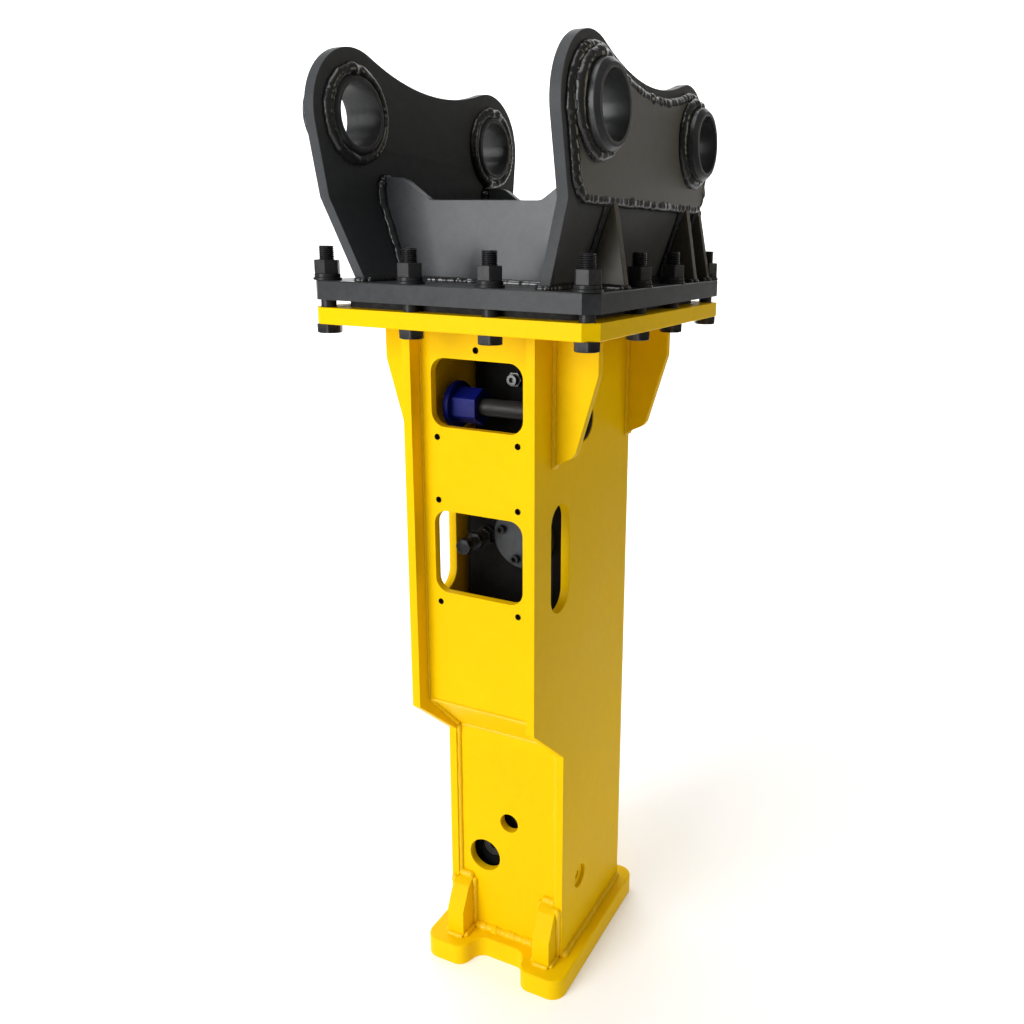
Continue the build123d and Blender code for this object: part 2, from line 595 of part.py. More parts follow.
LAND_R, WAIST_R, TAIL_R, TIP_R = 52.0, 45.0, 40.0, 42.0
with BuildPart() as cylinder:
    with BuildSketch(level(HEAD_Z1)):
        with Locations((0, (CYL_Y0 + CYL_Y1) / 2)):
            Rectangle(2 * BODY_X, CYL_Y1 - CYL_Y0)
    extrude(amount=CYL_Z1 - HEAD_Z1)
    chamfer(cylinder.edges().filter_by(Axis.Z), length=14)
    for z, h, r in ((HEAD_Z1, 120, TIP_R), (590, 300, LAND_R), (890, 110, TAIL_R)):
        with BuildSketch(level(z)):
            with Locations((0, AY)):
                Circle(r + RUN)
        extrude(amount=h, mode=Mode.SUBTRACT)
    with BuildSketch(level(HEAD_Z1)):
        with Locations(*ROD_SPOTS):
            Circle(M24 / 2 + 0.3)
    extrude(amount=CYL_Z1 - HEAD_Z1, mode=Mode.SUBTRACT)
    with BuildSketch(facing_front(CYL_Y0)):
        with Locations((VALVE_X, VALVE_Z)):
            Circle(24 + RUN)
    extrude(amount=-51, mode=Mode.SUBTRACT)
    with BuildSketch(facing_front(CYL_Y0)):
        with Locations((ADJ_X, ADJ_Z)):
            Circle(9 + RUN)
    extrude(amount=-35, mode=Mode.SUBTRACT)
cylinder.part.label = "cylinder"
export_step(cylinder.part, "parts/cylinder.step")

with BuildPart() as spool:
    with BuildSketch(facing_front(CYL_Y0 + 1)):
        with Locations((VALVE_X, VALVE_Z)):
            Circle(24)
    extrude(amount=-36)
    with BuildSketch(facing_front(CYL_Y0 + 13)):
        with Locations((VALVE_X, VALVE_Z)):
            Circle(25)
            Circle(18, mode=Mode.SUBTRACT)
    extrude(amount=-10, mode=Mode.SUBTRACT)
spool.part.label = "valve_spool"
export_step(spool.part, "parts/valve_spool.step")

COVER_A = -106 * pi / 180
COVER_SPOTS = [(VALVE_X + 41 * cos(a * pi / 2 + COVER_A), VALVE_Z + 41 * sin(a * pi / 2 + COVER_A)) for a in range(4)]
with BuildPart() as valve_cover:
    with BuildSketch(facing_front(CYL_Y0)):
        with Locations((VALVE_X, VALVE_Z)):
            Circle(57)
    extrude(amount=14)
    chamfer(valve_cover.faces().sort_by(Axis.Y)[0].edges(), length=2)
    with BuildSketch(facing_front(CYL_Y0)):
        with Locations(*COVER_SPOTS):
            Circle(5.2)
    extrude(amount=14, mode=Mode.SUBTRACT)
valve_cover.part.label = "valve_cover"
export_step(valve_cover.part, "parts/valve_cover.step")

with BuildPart() as cover_screws:
    with BuildSketch(facing_front(CYL_Y0)):
        with Locations(*COVER_SPOTS):
            Circle(5)
    extrude(amount=14)
    with BuildSketch(facing_front(CYL_Y0 - 14)):
        with Locations(*COVER_SPOTS):
            Circle(8)
    extrude(amount=9)
    with BuildSketch(facing_front(CYL_Y0 - 23)):
        with Locations(*COVER_SPOTS):
            RegularPolygon(radius=4.6, side_count=6)
    extrude(amount=-5, mode=Mode.SUBTRACT)
cover_screws.part.label = "valve_cover_screws"
export_step(cover_screws.part, "parts/valve_cover_screws.step")

with BuildPart() as sleeve:
    with BuildSketch(facing_front(CYL_Y0)):
        with Locations((ADJ_X, ADJ_Z)):
            Circle(18)
    extrude(amount=8)
    with BuildSketch(facing_front(CYL_Y0 - 8)):
        with Locations((ADJ_X, ADJ_Z)):
            RegularPolygon(radius=18, side_count=6, rotation=30)
    extrude(amount=12)
    with BuildSketch(facing_front(CYL_Y0 - 20)):
        with Locations((ADJ_X, ADJ_Z)):
            Circle(13.5)
    extrude(amount=20)
    with BuildSketch(facing_front(CYL_Y0 - 40)):
        with Locations((ADJ_X, ADJ_Z)):
            RegularPolygon(radius=17, side_count=6)
    extrude(amount=9)
    with BuildSketch(facing_front(CYL_Y0)):
        with Locations((ADJ_X, ADJ_Z)):
            Circle(9 + RUN)
    extrude(amount=49, mode=Mode.SUBTRACT)
sleeve.part.label = "adjuster_sleeve"
export_step(sleeve.part, "parts/adjuster_sleeve.step")

with BuildPart() as adjuster:
    with BuildSketch(facing_front(CYL_Y0 + 30)):
        with Locations((ADJ_X, ADJ_Z)):
            Circle(9)
    extrude(amount=100)
    with BuildSketch(facing_front(CYL_Y0 - 70)):
        with Locations((ADJ_X, ADJ_Z)):
            RegularPolygon(radius=15, side_count=6)
    extrude(amount=13)
    with BuildSketch(facing_front(CYL_Y0 + 30)):
        with Locations((ADJ_X, ADJ_Z)):
            Circle(9.5)
            Circle(5, mode=Mode.SUBTRACT)
    extrude(amount=12, mode=Mode.SUBTRACT)
adjuster.part.label = "flow_adjuster"
export_step(adjuster.part, "parts/flow_adjuster.step")

with BuildPart() as back_head:
    with BuildSketch(level(CYL_Z1)):
        with Locations((0, AY)):
            Rectangle(2 * 96, 2 * 82)
    extrude(amount=BACK_Z1 - CYL_Z1)
    chamfer(back_head.edges().filter_by(Axis.Z), length=14)
    for z, h, r in ((CYL_Z1, 45, 60.3), (CYL_Z1 + 45, 110, 50)):
        with BuildSketch(level(z)):
            with Locations((0, AY)):
                Circle(r)
        extrude(amount=h, mode=Mode.SUBTRACT)
    with BuildSketch(level(CYL_Z1)):
        with Locations(*ROD_SPOTS):
            Circle(M24 / 2 + 0.3)
    extrude(amount=BACK_Z1 - CYL_Z1, mode=Mode.SUBTRACT)
    with BuildSketch(facing_front(AY - 82)):
        with Locations((-5, 1140)):
            Circle(6.3)
    extrude(amount=-33, mode=Mode.SUBTRACT)
    with BuildSketch(facing_right(96)):
        with Locations((OUT_Y, PORT_Z)):
            Circle(16)
    extrude(amount=-7, mode=Mode.SUBTRACT)
back_head.part.label = "back_head"
export_step(back_head.part, "parts/back_head.step")

with BuildPart() as gas_valve:
    with BuildSketch(facing_front(AY - 82 + 20)):
        with Locations((-5, 1140)):
            Circle(6)
    extrude(amount=20)
    with BuildSketch(facing_front(AY - 82)):
        with Locations((-5, 1140)):
            RegularPolygon(radius=14, side_count=6)
    extrude(amount=8)
    with BuildSketch(facing_front(AY - 90)):
        with Locations((-5, 1140)):
            Circle(9.5)
    extrude(amount=10)
    with BuildSketch(facing_front(AY - 100)):
        with Locations((-5, 1140)):
            Circle(4.5)
    extrude(amount=-7, mode=Mode.SUBTRACT)
gas_valve.part.label = "gas_charge_valve"
export_step(gas_valve.part, "parts/gas_charge_valve.step")

with BuildPart() as seal_carrier:
    with BuildSketch(level(CYL_Z1)):
        with Locations((0, AY)):
            Circle(60)
            Circle(TAIL_R + RUN, mode=Mode.SUBTRACT)
    extrude(amount=45)
    for z in (1010, 1028):
        with BuildSketch(level(z)):
            with Locations((0, AY)):
                Circle(47)
                Circle(TAIL_R, mode=Mode.SUBTRACT)
        extrude(amount=8, mode=Mode.SUBTRACT)
seal_carrier.part.label = "seal_carrier"
export_step(seal_carrier.part, "parts/seal_carrier.step")

with BuildPart() as gas_seals:
    for z in (1010.5, 1028.5):
        with BuildSketch(level(z)):
            with Locations((0, AY)):
                Circle(46.5)
                Circle(TAIL_R + RUN, mode=Mode.SUBTRACT)
        extrude(amount=7)
gas_seals.part.label = "gas_seals"
export_step(gas_seals.part, "parts/gas_seals.step")

# piston, at the bottom of its stroke
with BuildPart() as piston:
    for z0, z1, r in ((430, 600, TIP_R), (600, 690, LAND_R), (690, 740, WAIST_R), (740, 800, LAND_R),
                      (800, 1058, TAIL_R)):
        with BuildSketch(level(z0)):
            with Locations((0, AY)):
                Circle(r)
        extrude(amount=z1 - z0)
    chamfer(piston.faces().sort_by(Axis.Z)[0].edges(), length=4)
    chamfer(piston.faces().sort_by(Axis.Z)[-1].edges(), length=4)
piston.part.label = "piston"
export_step(piston.part, "parts/piston.step")

ROD_TOP = BACK_Z1 + 32.0
with BuildPart() as tie_rods:
    with BuildSketch(level(366)):
        with Locations(*ROD_SPOTS):
            Circle(M24 / 2)
    extrude(amount=ROD_TOP - 366)
    chamfer(tie_rods.faces().group_by(Axis.Z)[-1].edges(), length=2)
tie_rods.part.label = "tie_rods"
export_step(tie_rods.part, "parts/tie_rods.step")

with BuildPart() as tie_nuts:
    with BuildSketch(level(BACK_Z1)):
        with Locations(*ROD_SPOTS):
            RegularPolygon(radius=M24_AF / sqrt(3), side_count=6)
            Circle(M24 / 2 + 0.2, mode=Mode.SUBTRACT)
    extrude(amount=24)
tie_nuts.part.label = "tie_rod_nuts"
export_step(tie_nuts.part, "parts/tie_rod_nuts.step")

with BuildPart() as damper:
    with BuildSketch(level(BACK_Z1)):
        with Locations((0, AY)):
            RectangleRounded(96, 72, 14)
    extrude(amount=FLANGE_Z1 - BACK_Z1)
damper.part.label = "upper_damper"
export_step(damper.part, "parts/upper_damper.step")

with BuildPart() as side_dampers:
    for x in (BODY_X, -SIDE_X0):
        for z in (400, 620):
            with BuildSketch(facing_right(x)):
                with Locations((AY, z)):
                    RectangleRounded(90, 100, 10)
            extrude(amount=SIDE_X0 - BODY_X)
    for z in (400, 620, 960):
        with BuildSketch(facing_front(BACK_Y0)):
            with Locations((0, z)):
                RectangleRounded(100, 70, 10)
        extrude(amount=BACK_Y0 - CYL_Y1)
side_dampers.part.label = "side_dampers"
export_step(side_dampers.part, "parts/side_dampers.step")

# ---------------------------------------------------------------------------
# Oil connections
# ---------------------------------------------------------------------------

with BuildPart() as port_block:
    with BuildSketch(level(1066)):
        with Locations((80, (-152 + AY - 82) / 2)):
            Rectangle(28, AY - 82 + 152)
    extrude(amount=70)
    chamfer(port_block.edges(), length=2)
    with BuildSketch(facing_right(66)):
        with Locations((LINE_Y, LINE_Z)):
            Circle(LINE_R + 0.2)
    extrude(amount=20, mode=Mode.SUBTRACT)
port_block.part.label = "port_block"
export_step(port_block.part, "parts/port_block.step")

with BuildPart() as inlet_pipe:
    with BuildSketch(facing_right(-46)):
        with Locations((LINE_Y, LINE_Z)):
            Circle(LINE_R)
    extrude(amount=132)
    with BuildSketch(facing_right(-46)):
        with Locations((LINE_Y, LINE_Z)):
            Circle(9.5)
    extrude(amount=132, mode=Mode.SUBTRACT)
inlet_pipe.part.label = "inlet_pipe"
export_step(inlet_pipe.part, "parts/inlet_pipe.step")

# cap pushed over the pipe's end: hexagonal skirt and a round rim
with BuildPart() as inlet_cap:
    with BuildSketch(facing_right(-74)):
        with Locations((LINE_Y, LINE_Z)):
            RegularPolygon(radius=32, side_count=6, rotation=30)
    extrude(amount=45)
    fillet(inlet_cap.edges().filter_by(Axis.X), radius=4)
    with BuildSketch(facing_right(-85)):
        with Locations((LINE_Y, LINE_Z)):
            Circle(41)
    extrude(amount=11)
    fillet(inlet_cap.faces().sort_by(Axis.X)[0].edges(), radius=3)
    with BuildSketch(facing_right(-47)):
        with Locations((LINE_Y, LINE_Z)):
            Circle(LINE_R + RUN)
    extrude(amount=20, mode=Mode.SUBTRACT)
inlet_cap.part.label = "inlet_dust_cap"
export_step(inlet_cap.part, "parts/inlet_dust_cap.step")

with BuildPart() as outlet_adapter:
    with BuildSketch(facing_right(89)):
        with Locations((OUT_Y, PORT_Z)):
            Circle(15.8)
            Circle(9.5, mode=Mode.SUBTRACT)
    extrude(amount=19)
    with BuildSketch(facing_right(96)):
        with Locations((OUT_Y, PORT_Z)):
            RegularPolygon(radius=20, side_count=6)
            Circle(9.5, mode=Mode.SUBTRACT)
    extrude(amount=8)
outlet_adapter.part.label = "outlet_adapter"
export_step(outlet_adapter.part, "parts/outlet_adapter.step")

with BuildPart() as outlet_plug:
    with BuildSketch(facing_right(95)):
        with Locations((OUT_Y, PORT_Z)):
            Circle(9.5 - RUN)
    extrude(amount=13)
    with BuildSketch(facing_right(108)):
        with Locations((OUT_Y, PORT_Z)):
            Circle(15.5)
    extrude(amount=5)
    fillet(outlet_plug.faces().sort_by(Axis.X)[-1].edges(), radius=2)
outlet_plug.part.label = "outlet_dust_plug"
export_step(outlet_plug.part, "parts/outlet_dust_plug.step")
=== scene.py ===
import json
import math
import random

import bmesh
import bpy
from mathutils import Matrix, Vector, noise

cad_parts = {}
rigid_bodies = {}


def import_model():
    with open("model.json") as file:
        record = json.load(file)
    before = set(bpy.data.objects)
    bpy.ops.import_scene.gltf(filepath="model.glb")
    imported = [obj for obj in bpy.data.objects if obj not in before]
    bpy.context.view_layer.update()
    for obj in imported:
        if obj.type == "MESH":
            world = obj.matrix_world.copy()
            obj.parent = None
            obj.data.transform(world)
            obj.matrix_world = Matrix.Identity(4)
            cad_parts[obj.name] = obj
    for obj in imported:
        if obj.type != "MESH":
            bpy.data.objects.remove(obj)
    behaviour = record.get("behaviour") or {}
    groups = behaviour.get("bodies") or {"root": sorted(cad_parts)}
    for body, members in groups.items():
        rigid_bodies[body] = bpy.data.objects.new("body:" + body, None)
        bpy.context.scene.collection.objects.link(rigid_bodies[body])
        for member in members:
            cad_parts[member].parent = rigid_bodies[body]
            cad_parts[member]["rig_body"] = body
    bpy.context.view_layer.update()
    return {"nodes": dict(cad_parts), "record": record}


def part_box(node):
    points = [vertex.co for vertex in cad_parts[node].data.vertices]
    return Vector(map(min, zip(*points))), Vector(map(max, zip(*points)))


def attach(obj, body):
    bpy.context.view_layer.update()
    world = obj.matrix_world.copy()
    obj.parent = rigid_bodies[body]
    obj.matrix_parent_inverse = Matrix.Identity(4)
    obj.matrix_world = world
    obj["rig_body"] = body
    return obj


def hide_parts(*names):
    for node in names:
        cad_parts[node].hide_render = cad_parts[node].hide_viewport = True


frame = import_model()
NODES = frame["nodes"]
MM = 0.001
random.seed(7)


# ---------------------------------------------------------------------------
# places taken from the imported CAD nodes, in millimetres; Y figures are
# measured from the centre of the flanges, which lies at MID_Y
# ---------------------------------------------------------------------------
def _mid():
    lo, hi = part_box("bracket_base_plate")
    return (lo.y + hi.y) / 2 / MM


MID_Y = _mid()
SHIFT = Vector((0.0, MID_Y, 0.0))


def mm(node):
    """Lowest and highest corner of a node in millimetres, Y from the flange centre."""
    lo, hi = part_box(node)
    return lo / MM - SHIFT, hi / MM - SHIFT


FLANGE_Z0, FLANGE_Z1 = mm("housing_top_flange")[0].z, mm("housing_top_flange")[1].z
BASE_Z0, BASE_Z1 = mm("bracket_base_plate")[0].z, mm("bracket_base_plate")[1].z
SIDE_X0, SIDE_X1 = mm("side_plate_right")[0].x, mm("side_plate_right")[1].x
SIDE_YU, SIDE_YB = mm("side_plate_right")[0].y, mm("side_plate_right")[1].y
SIDE_YL, STEP_ZU, STEP_ZL = -111.0, 569.0, 470.0
FOOT_T = mm("bottom_plate")[1].z
FRONT_YU, FRONT_YL = mm("front_plate_upper")[0].y, mm("front_plate_lower")[0].y
STEP_PZU, STEP_PZL = mm("front_plate_upper")[0].z, mm("front_plate_lower")[1].z
BACK_Y1 = mm("back_plate")[1].y
GUSSET_X, GUSSET_Z0 = mm("flange_gussets_right")[1].x, mm("flange_gussets_right")[0].z
GUSSET_T, GUSSET_Y = 16.0, (mm("flange_gussets_right")[0].y, mm("flange_gussets_right")[1].y - 16.0)
CLAW_X0, CLAW_X1 = mm("claw_right")[0].x, mm("claw_right")[1].x
EAR_T, EAR_XB = 18.0, mm("ear_right")[0].x
EAR_XI = mm("ear_right")[1].x - EAR_T
EAR_F, EAR_R = -267.0, 250.0
BEND_Z = 1433.0
DOUBLER_X0, DOUBLER_X1 = mm("ear_doubler_right")[0].x, mm("ear_doubler_right")[1].x
BOSS_X0, BOSS_X1 = mm("pin_boss_front_right")[0].x, mm("pin_boss_front_right")[1].x
BOSS_R, PIN_R = (mm("pin_boss_front_right")[1].z - mm("pin_boss_front_right")[0].z) / 2, 47.5


def boss_centre(place):
    lo, hi = mm("pin_boss_%s_right" % place)
    return (lo.y + hi.y) / 2, (lo.z + hi.z) / 2


COVER_HOLES = []
for mount in frame["record"]["mounts"]:
    if mount["name"] in ("lower_cover_holes", "upper_cover_holes"):
        px, _, pz = (v / MM for v in mount["pos_m"])
        dx, dz = mount["dims"]["spacing_x_mm"] / 2, mount["dims"].get("spacing_y_mm", 0.0) / 2
        COVER_HOLES += sorted({(px + a * dx, pz + b * dz) for a in (-1, 1) for b in (-1, 1)})
COVER_HOLES.append((0.0, COVER_HOLES[-1][1] + 148.0))
STIFF_T = 16.0
STIFF_Y = tuple((mm("cross_plate_%s" % p)[0].y + mm("cross_plate_%s" % p)[1].y) / 2 for p in ("front", "rear"))
RIB_X, RIB_TOP, REAR_RIB_Y = mm("ear_ribs_right")[1].x, mm("ear_ribs_right")[1].z, 233.0
CROSS_Z, WING_Z = 1435.0, mm("cross_plate_front")[1].z
BOLT_X, BOLT_Y, BOLT_XI, BOLT_YI = 228.0, 264.0, 70.0, 76.0
BOLT_SPOTS = [(sx * BOLT_X, sy * BOLT_Y) for sx in (-1, 1) for sy in (-1, 1)]
BOLT_SPOTS += [(sx * BOLT_XI, sy * BOLT_Y) for sx in (-1, 1) for sy in (-1, 1)]
BOLT_SPOTS += [(sx * BOLT_X, sy * BOLT_YI) for sx in (-1, 1) for sy in (-1, 1)]


# ---------------------------------------------------------------------------
# node helpers
# ---------------------------------------------------------------------------
class Mat:
    """A small wrapper that keeps the node code short."""

    def __init__(self, name):
        self.m = bpy.data.materials.new(name)
        self.m.use_nodes = True
        self.nt = self.m.node_tree
        self.nt.nodes.clear()
        self.out = self.nt.nodes.new("ShaderNodeOutputMaterial")
        self.b = self.nt.nodes.new("ShaderNodeBsdfPrincipled")
        self.nt.links.new(self.b.outputs[0], self.out.inputs[0])
        self.co = self.nt.nodes.new("ShaderNodeTexCoord")

    def n(self, kind, **kw):
        node = self.nt.nodes.new(kind)
        for k, v in kw.items():
            setattr(node, k, v)
        return node

    def link(self, a, b):
        self.nt.links.new(a, b)

    def const(self, **kw):
        for k, v in kw.items():
            self.b.inputs[k.replace("_", " ")].default_value = v

    def scaled(self, scale):
        mp = self.n("ShaderNodeMapping")
        mp.inputs["Scale"].default_value = scale if isinstance(scale, tuple) else (scale,) * 3
        self.link(self.co.outputs["Object"], mp.inputs["Vector"])
        return mp.outputs[0]

    def noise(self, scale, detail=4.0, rough=0.55, vec=None, dist=0.0):
        t = self.n("ShaderNodeTexNoise")
        t.inputs["Scale"].default_value = scale
        t.inputs["Detail"].default_value = detail
        t.inputs["Roughness"].default_value = rough
        t.inputs["Distortion"].default_value = dist
        self.link(vec if vec is not None else self.co.outputs["Object"], t.inputs["Vector"])
        return t.outputs["Fac"]

    def voronoi(self, scale, feature="F1", vec=None):
        t = self.n("ShaderNodeTexVoronoi", feature=feature)
        t.inputs["Scale"].default_value = scale
        self.link(vec if vec is not None else self.co.outputs["Object"], t.inputs["Vector"])
        return t.outputs["Distance"]

    def ramp(self, fac, stops, interp="LINEAR"):
        r = self.n("ShaderNodeValToRGB")
        r.color_ramp.interpolation = interp
        els = r.color_ramp.elements
        while len(els) > 1:
            els.remove(els[-1])
        els[0].position, els[0].color = stops[0][0], _rgba(stops[0][1])
        for p, c in stops[1:]:
            e = els.new(p)
            e.color = _rgba(c)
        self.link(fac, r.inputs["Fac"])
        return r.outputs["Color"]

    def math(self, op, a, b=None, clamp=False):
        m = self.n("ShaderNodeMath", operation=op, use_clamp=clamp)
        for i, v in enumerate((a, b)):
            if v is None:
                continue
            if isinstance(v, (int, float)):
                m.inputs[i].default_value = v
            else:
                self.link(v, m.inputs[i])
        return m.outputs[0]

    def mix(self, fac, a, b, kind="MIX"):
        m = self.n("ShaderNodeMix", data_type="RGBA", blend_type=kind)
        for sock, v in ((m.inputs["Factor"], fac), (m.inputs[6], a), (m.inputs[7], b)):
            if isinstance(v, (int, float)):
                sock.default_value = v
            elif isinstance(v, tuple):
                sock.default_value = _rgba(v)
            else:
                self.link(v, sock)
        return m.outputs[2]

    def bump(self, height, strength, distance, normal=None):
        bp = self.n("ShaderNodeBump")
        bp.inputs["Strength"].default_value = strength
        bp.inputs["Distance"].default_value = distance
        self.link(height, bp.inputs["Height"])
        if normal is not None:
            self.link(normal, bp.inputs["Normal"])
        return bp.outputs[0]


def _rgba(c):
    return (c, c, c, 1.0) if isinstance(c, (int, float)) else tuple(c) + (1.0,) * (4 - len(c))


def wear_mask(m, lo, hi):
    """Edge mask from the surface's pointiness, broken up by noise."""
    geo = m.n("ShaderNodeNewGeometry")
    broken = m.math("MULTIPLY", m.noise(420.0, 5.0), 0.05)
    return m.ramp(m.math("ADD", geo.outputs["Pointiness"], broken), [(lo, 0.0), (hi, 1.0)])


def paint(name, base, dark, light, rough, coat, peel=0.15, metallic=0.0, chip=None, spec=0.5, coat_rough=0.08,
          dust=0.0, hollow_shade_and_specks=0.0, edge=None):
    """Sprayed paint over plate: slow tone changes, orange peel, dust, dark specks, painted shade in the hollows and
    corners, and lighter arrises that are partly rubbed paint and partly a painted edge highlight.
    """
    m = Mat(name)
    tone = m.ramp(m.noise(1.7, 4.0, 0.5), [(0.32, dark), (0.5, base), (0.70, light)])
    fine = m.ramp(m.noise(48.0, 3.0, 0.6), [(0.3, 0.965), (0.7, 1.0)])
    colour = m.mix(1.0, tone, fine, "MULTIPLY")
    geo = m.n("ShaderNodeNewGeometry")
    if hollow_shade_and_specks:
        # painted shade: faces in hollows and corners (low pointiness) are darkened towards 35 % of the base colour; the
        # specks below are dirt
        hollow = m.math("ADD", geo.outputs["Pointiness"], m.math("MULTIPLY", m.noise(120.0, 5.0), 0.03))
        low = m.ramp(hollow, [(0.44, 1.0), (0.505, 0.0)])
        colour = m.mix(m.math("MULTIPLY", low, hollow_shade_and_specks), colour, tuple(c * 0.35 for c in base))
        specks = m.ramp(m.noise(210.0, 6.0, 0.7), [(0.70, 0.0), (0.735, 1.0)])
        where = m.ramp(m.noise(3.1, 3.0), [(0.52, 0.0), (0.66, 0.5)])
        colour = m.mix(m.math("MULTIPLY", specks, where), colour, tuple(c * 0.45 for c in base))
    if dust:
        sep = m.n("ShaderNodeSeparateXYZ")
        m.link(geo.outputs["Normal"], sep.inputs[0])
        up = m.ramp(m.math("MULTIPLY", sep.outputs["Z"], m.noise(14.0, 6.0, 0.7)), [(0.30, 0.0), (0.62, dust)])
        colour = m.mix(up, colour, (0.30, 0.28, 0.25))
    if chip is not None:
        chips = m.ramp(m.math("MULTIPLY", m.ramp(m.noise(150.0, 8.0, 0.75), [(0.66, 0.0), (0.70, 1.0)]),
                              m.ramp(m.noise(2.6, 2.0), [(0.5, 0.0), (0.62, 1.0)])), [(0.4, 0.0), (0.6, 1.0)])
        colour = m.mix(m.math("MULTIPLY", chips, 0.6), colour, chip)
    if edge is not None:
        # lighter arrises: partly rubbed paint, partly a painted edge highlight in the bluish tone of a reflection
        arris_wear_and_highlight = m.math("ADD", geo.outputs["Pointiness"], m.math("MULTIPLY", m.noise(65.0, 6.0, 0.7), 0.05))
        colour = m.mix(m.math("MULTIPLY", m.ramp(arris_wear_and_highlight, [(0.545, 0.0), (0.59, 1.0)]), 0.55), colour, edge)
    m.link(colour, m.b.inputs["Base Color"])
    r = m.ramp(m.noise(7.0, 6.0, 0.62), [(0.3, rough * 0.85), (0.7, rough * 1.2)])
    m.link(r, m.b.inputs["Roughness"])
    n1 = m.bump(m.noise(16.0, 2.0, 0.5), 0.10, 0.0014)
    m.link(m.bump(m.noise(340.0, 2.0, 0.5), peel, 0.0003, n1), m.b.inputs["Normal"])
    m.const(Metallic=metallic, Coat_Weight=coat, Coat_Roughness=coat_rough)
    m.b.inputs["Specular IOR Level"].default_value = spec
    return m.m


def oxide(name, base=(0.018, 0.018, 0.02), edge=(0.10, 0.10, 0.105), rough=0.38):
    """Black oxide steel with an oil film and rubbed corners."""
    m = Mat(name)
    tone = m.ramp(m.noise(60.0, 6.0, 0.65), [(0.3, tuple(c * 0.6 for c in base)), (0.7, tuple(c * 1.8 for c in base))])
    m.link(m.mix(wear_mask(m, 0.53, 0.60), tone, edge), m.b.inputs["Base Color"])
    m.link(m.ramp(m.noise(90.0, 5.0), [(0.3, rough * 0.75), (0.75, rough * 1.35)]), m.b.inputs["Roughness"])
    m.link(m.bump(m.noise(900.0, 3.0), 0.25, 0.0002), m.b.inputs["Normal"])
    m.const(Metallic=0.12)
    m.b.inputs["Specular IOR Level"].default_value = 0.16
    return m.m


def steel(name, base, rough, stretch=(1.0, 1.0, 40.0), metallic=1.0, tarnish=(0.25, 0.2, 0.15)):
    """Machined steel: fine tool marks and a patchy oil tone."""
    m = Mat(name)
    lines = m.noise(70.0, 4.0, 0.6, m.scaled(stretch))
    tone = m.ramp(lines, [(0.25, tuple(c * 0.72 for c in base)), (0.75, tuple(min(1, c * 1.15) for c in base))])
    patch = m.ramp(m.noise(18.0, 5.0, 0.6), [(0.5, 0.0), (0.8, 0.35)])
    m.link(m.mix(patch, tone, tarnish), m.b.inputs["Base Color"])
    m.link(m.ramp(lines, [(0.2, rough * 0.8), (0.8, rough * 1.25)]), m.b.inputs["Roughness"])
    m.link(m.bump(lines, 0.2, 0.0002), m.b.inputs["Normal"])
    m.const(Metallic=metallic)
    return m.m


def rubber(name, base=(0.012, 0.012, 0.012), rough=0.72):
    m = Mat(name)
    tone = m.ramp(m.noise(45.0, 6.0, 0.6), [(0.3, tuple(c * 0.7 for c in base)), (0.7, tuple(c * 2.2 for c in base))])
    bloom = m.ramp(m.noise(12.0, 5.0, 0.7), [(0.55, 0.0), (0.8, 0.25)])
    m.link(m.mix(bloom, tone, (0.09, 0.09, 0.088)), m.b.inputs["Base Color"])
    m.link(m.ramp(m.noise(80.0, 4.0), [(0.3, rough * 0.85), (0.7, min(1.0, rough * 1.15))]), m.b.inputs["Roughness"])
    m.link(m.bump(m.noise(700.0, 3.0), 0.3, 0.0003), m.b.inputs["Normal"])
    return m.m


def plastic(name, base, rough=0.34, sss=0.0):
    m = Mat(name)
    tone = m.ramp(m.noise(26.0, 4.0), [(0.3, tuple(c * 0.82 for c in base)), (0.7, tuple(min(1, c * 1.15) for c in base))])
    m.link(tone, m.b.inputs["Base Color"])
    m.link(m.ramp(m.noise(120.0, 4.0), [(0.3, rough * 0.85), (0.7, rough * 1.25)]), m.b.inputs["Roughness"])
    m.link(m.bump(m.noise(1100.0, 2.0), 0.15, 0.0002), m.b.inputs["Normal"])
    m.b.inputs["Specular IOR Level"].default_value = 0.25
    return m.m


YELLOW = paint("yellow_paint", (0.88, 0.560, 0.001), (0.84, 0.528, 0.001), (0.91, 0.588, 0.002), 0.40, 0.02, peel=0.14,
               coat_rough=0.15, hollow_shade_and_specks=0.30, spec=0.03)
YELLOW_WELD = paint("yellow_paint_on_weld", (0.88, 0.560, 0.001), (0.82, 0.515, 0.001), (0.92, 0.60, 0.004), 0.30, 0.14,
                    peel=0.15, coat_rough=0.10, hollow_shade_and_specks=0.35, spec=0.15)
BLACK = paint("black_paint", (0.0140, 0.0150, 0.0162), (0.0105, 0.0112, 0.0122), (0.019, 0.020, 0.0215), 0.38, 0.05,
              peel=0.30, coat_rough=0.22, dust=0.03, chip=(0.06, 0.058, 0.055), spec=0.20, edge=(0.07, 0.072, 0.076))
# the ears' black paint is a lighter, bluish copy of the black paint: the extra lightness is painted reflection
EAR_REFLECTION_BLACK = paint("black_paint_ear_painted_reflection", (0.045, 0.048, 0.0515), (0.037, 0.0395, 0.0425), (0.056, 0.0595, 0.063), 0.40, 0.02,
                  peel=0.30, coat_rough=0.20, dust=0.02, chip=(0.09, 0.088, 0.085), spec=0.08, edge=(0.09, 0.092, 0.096))
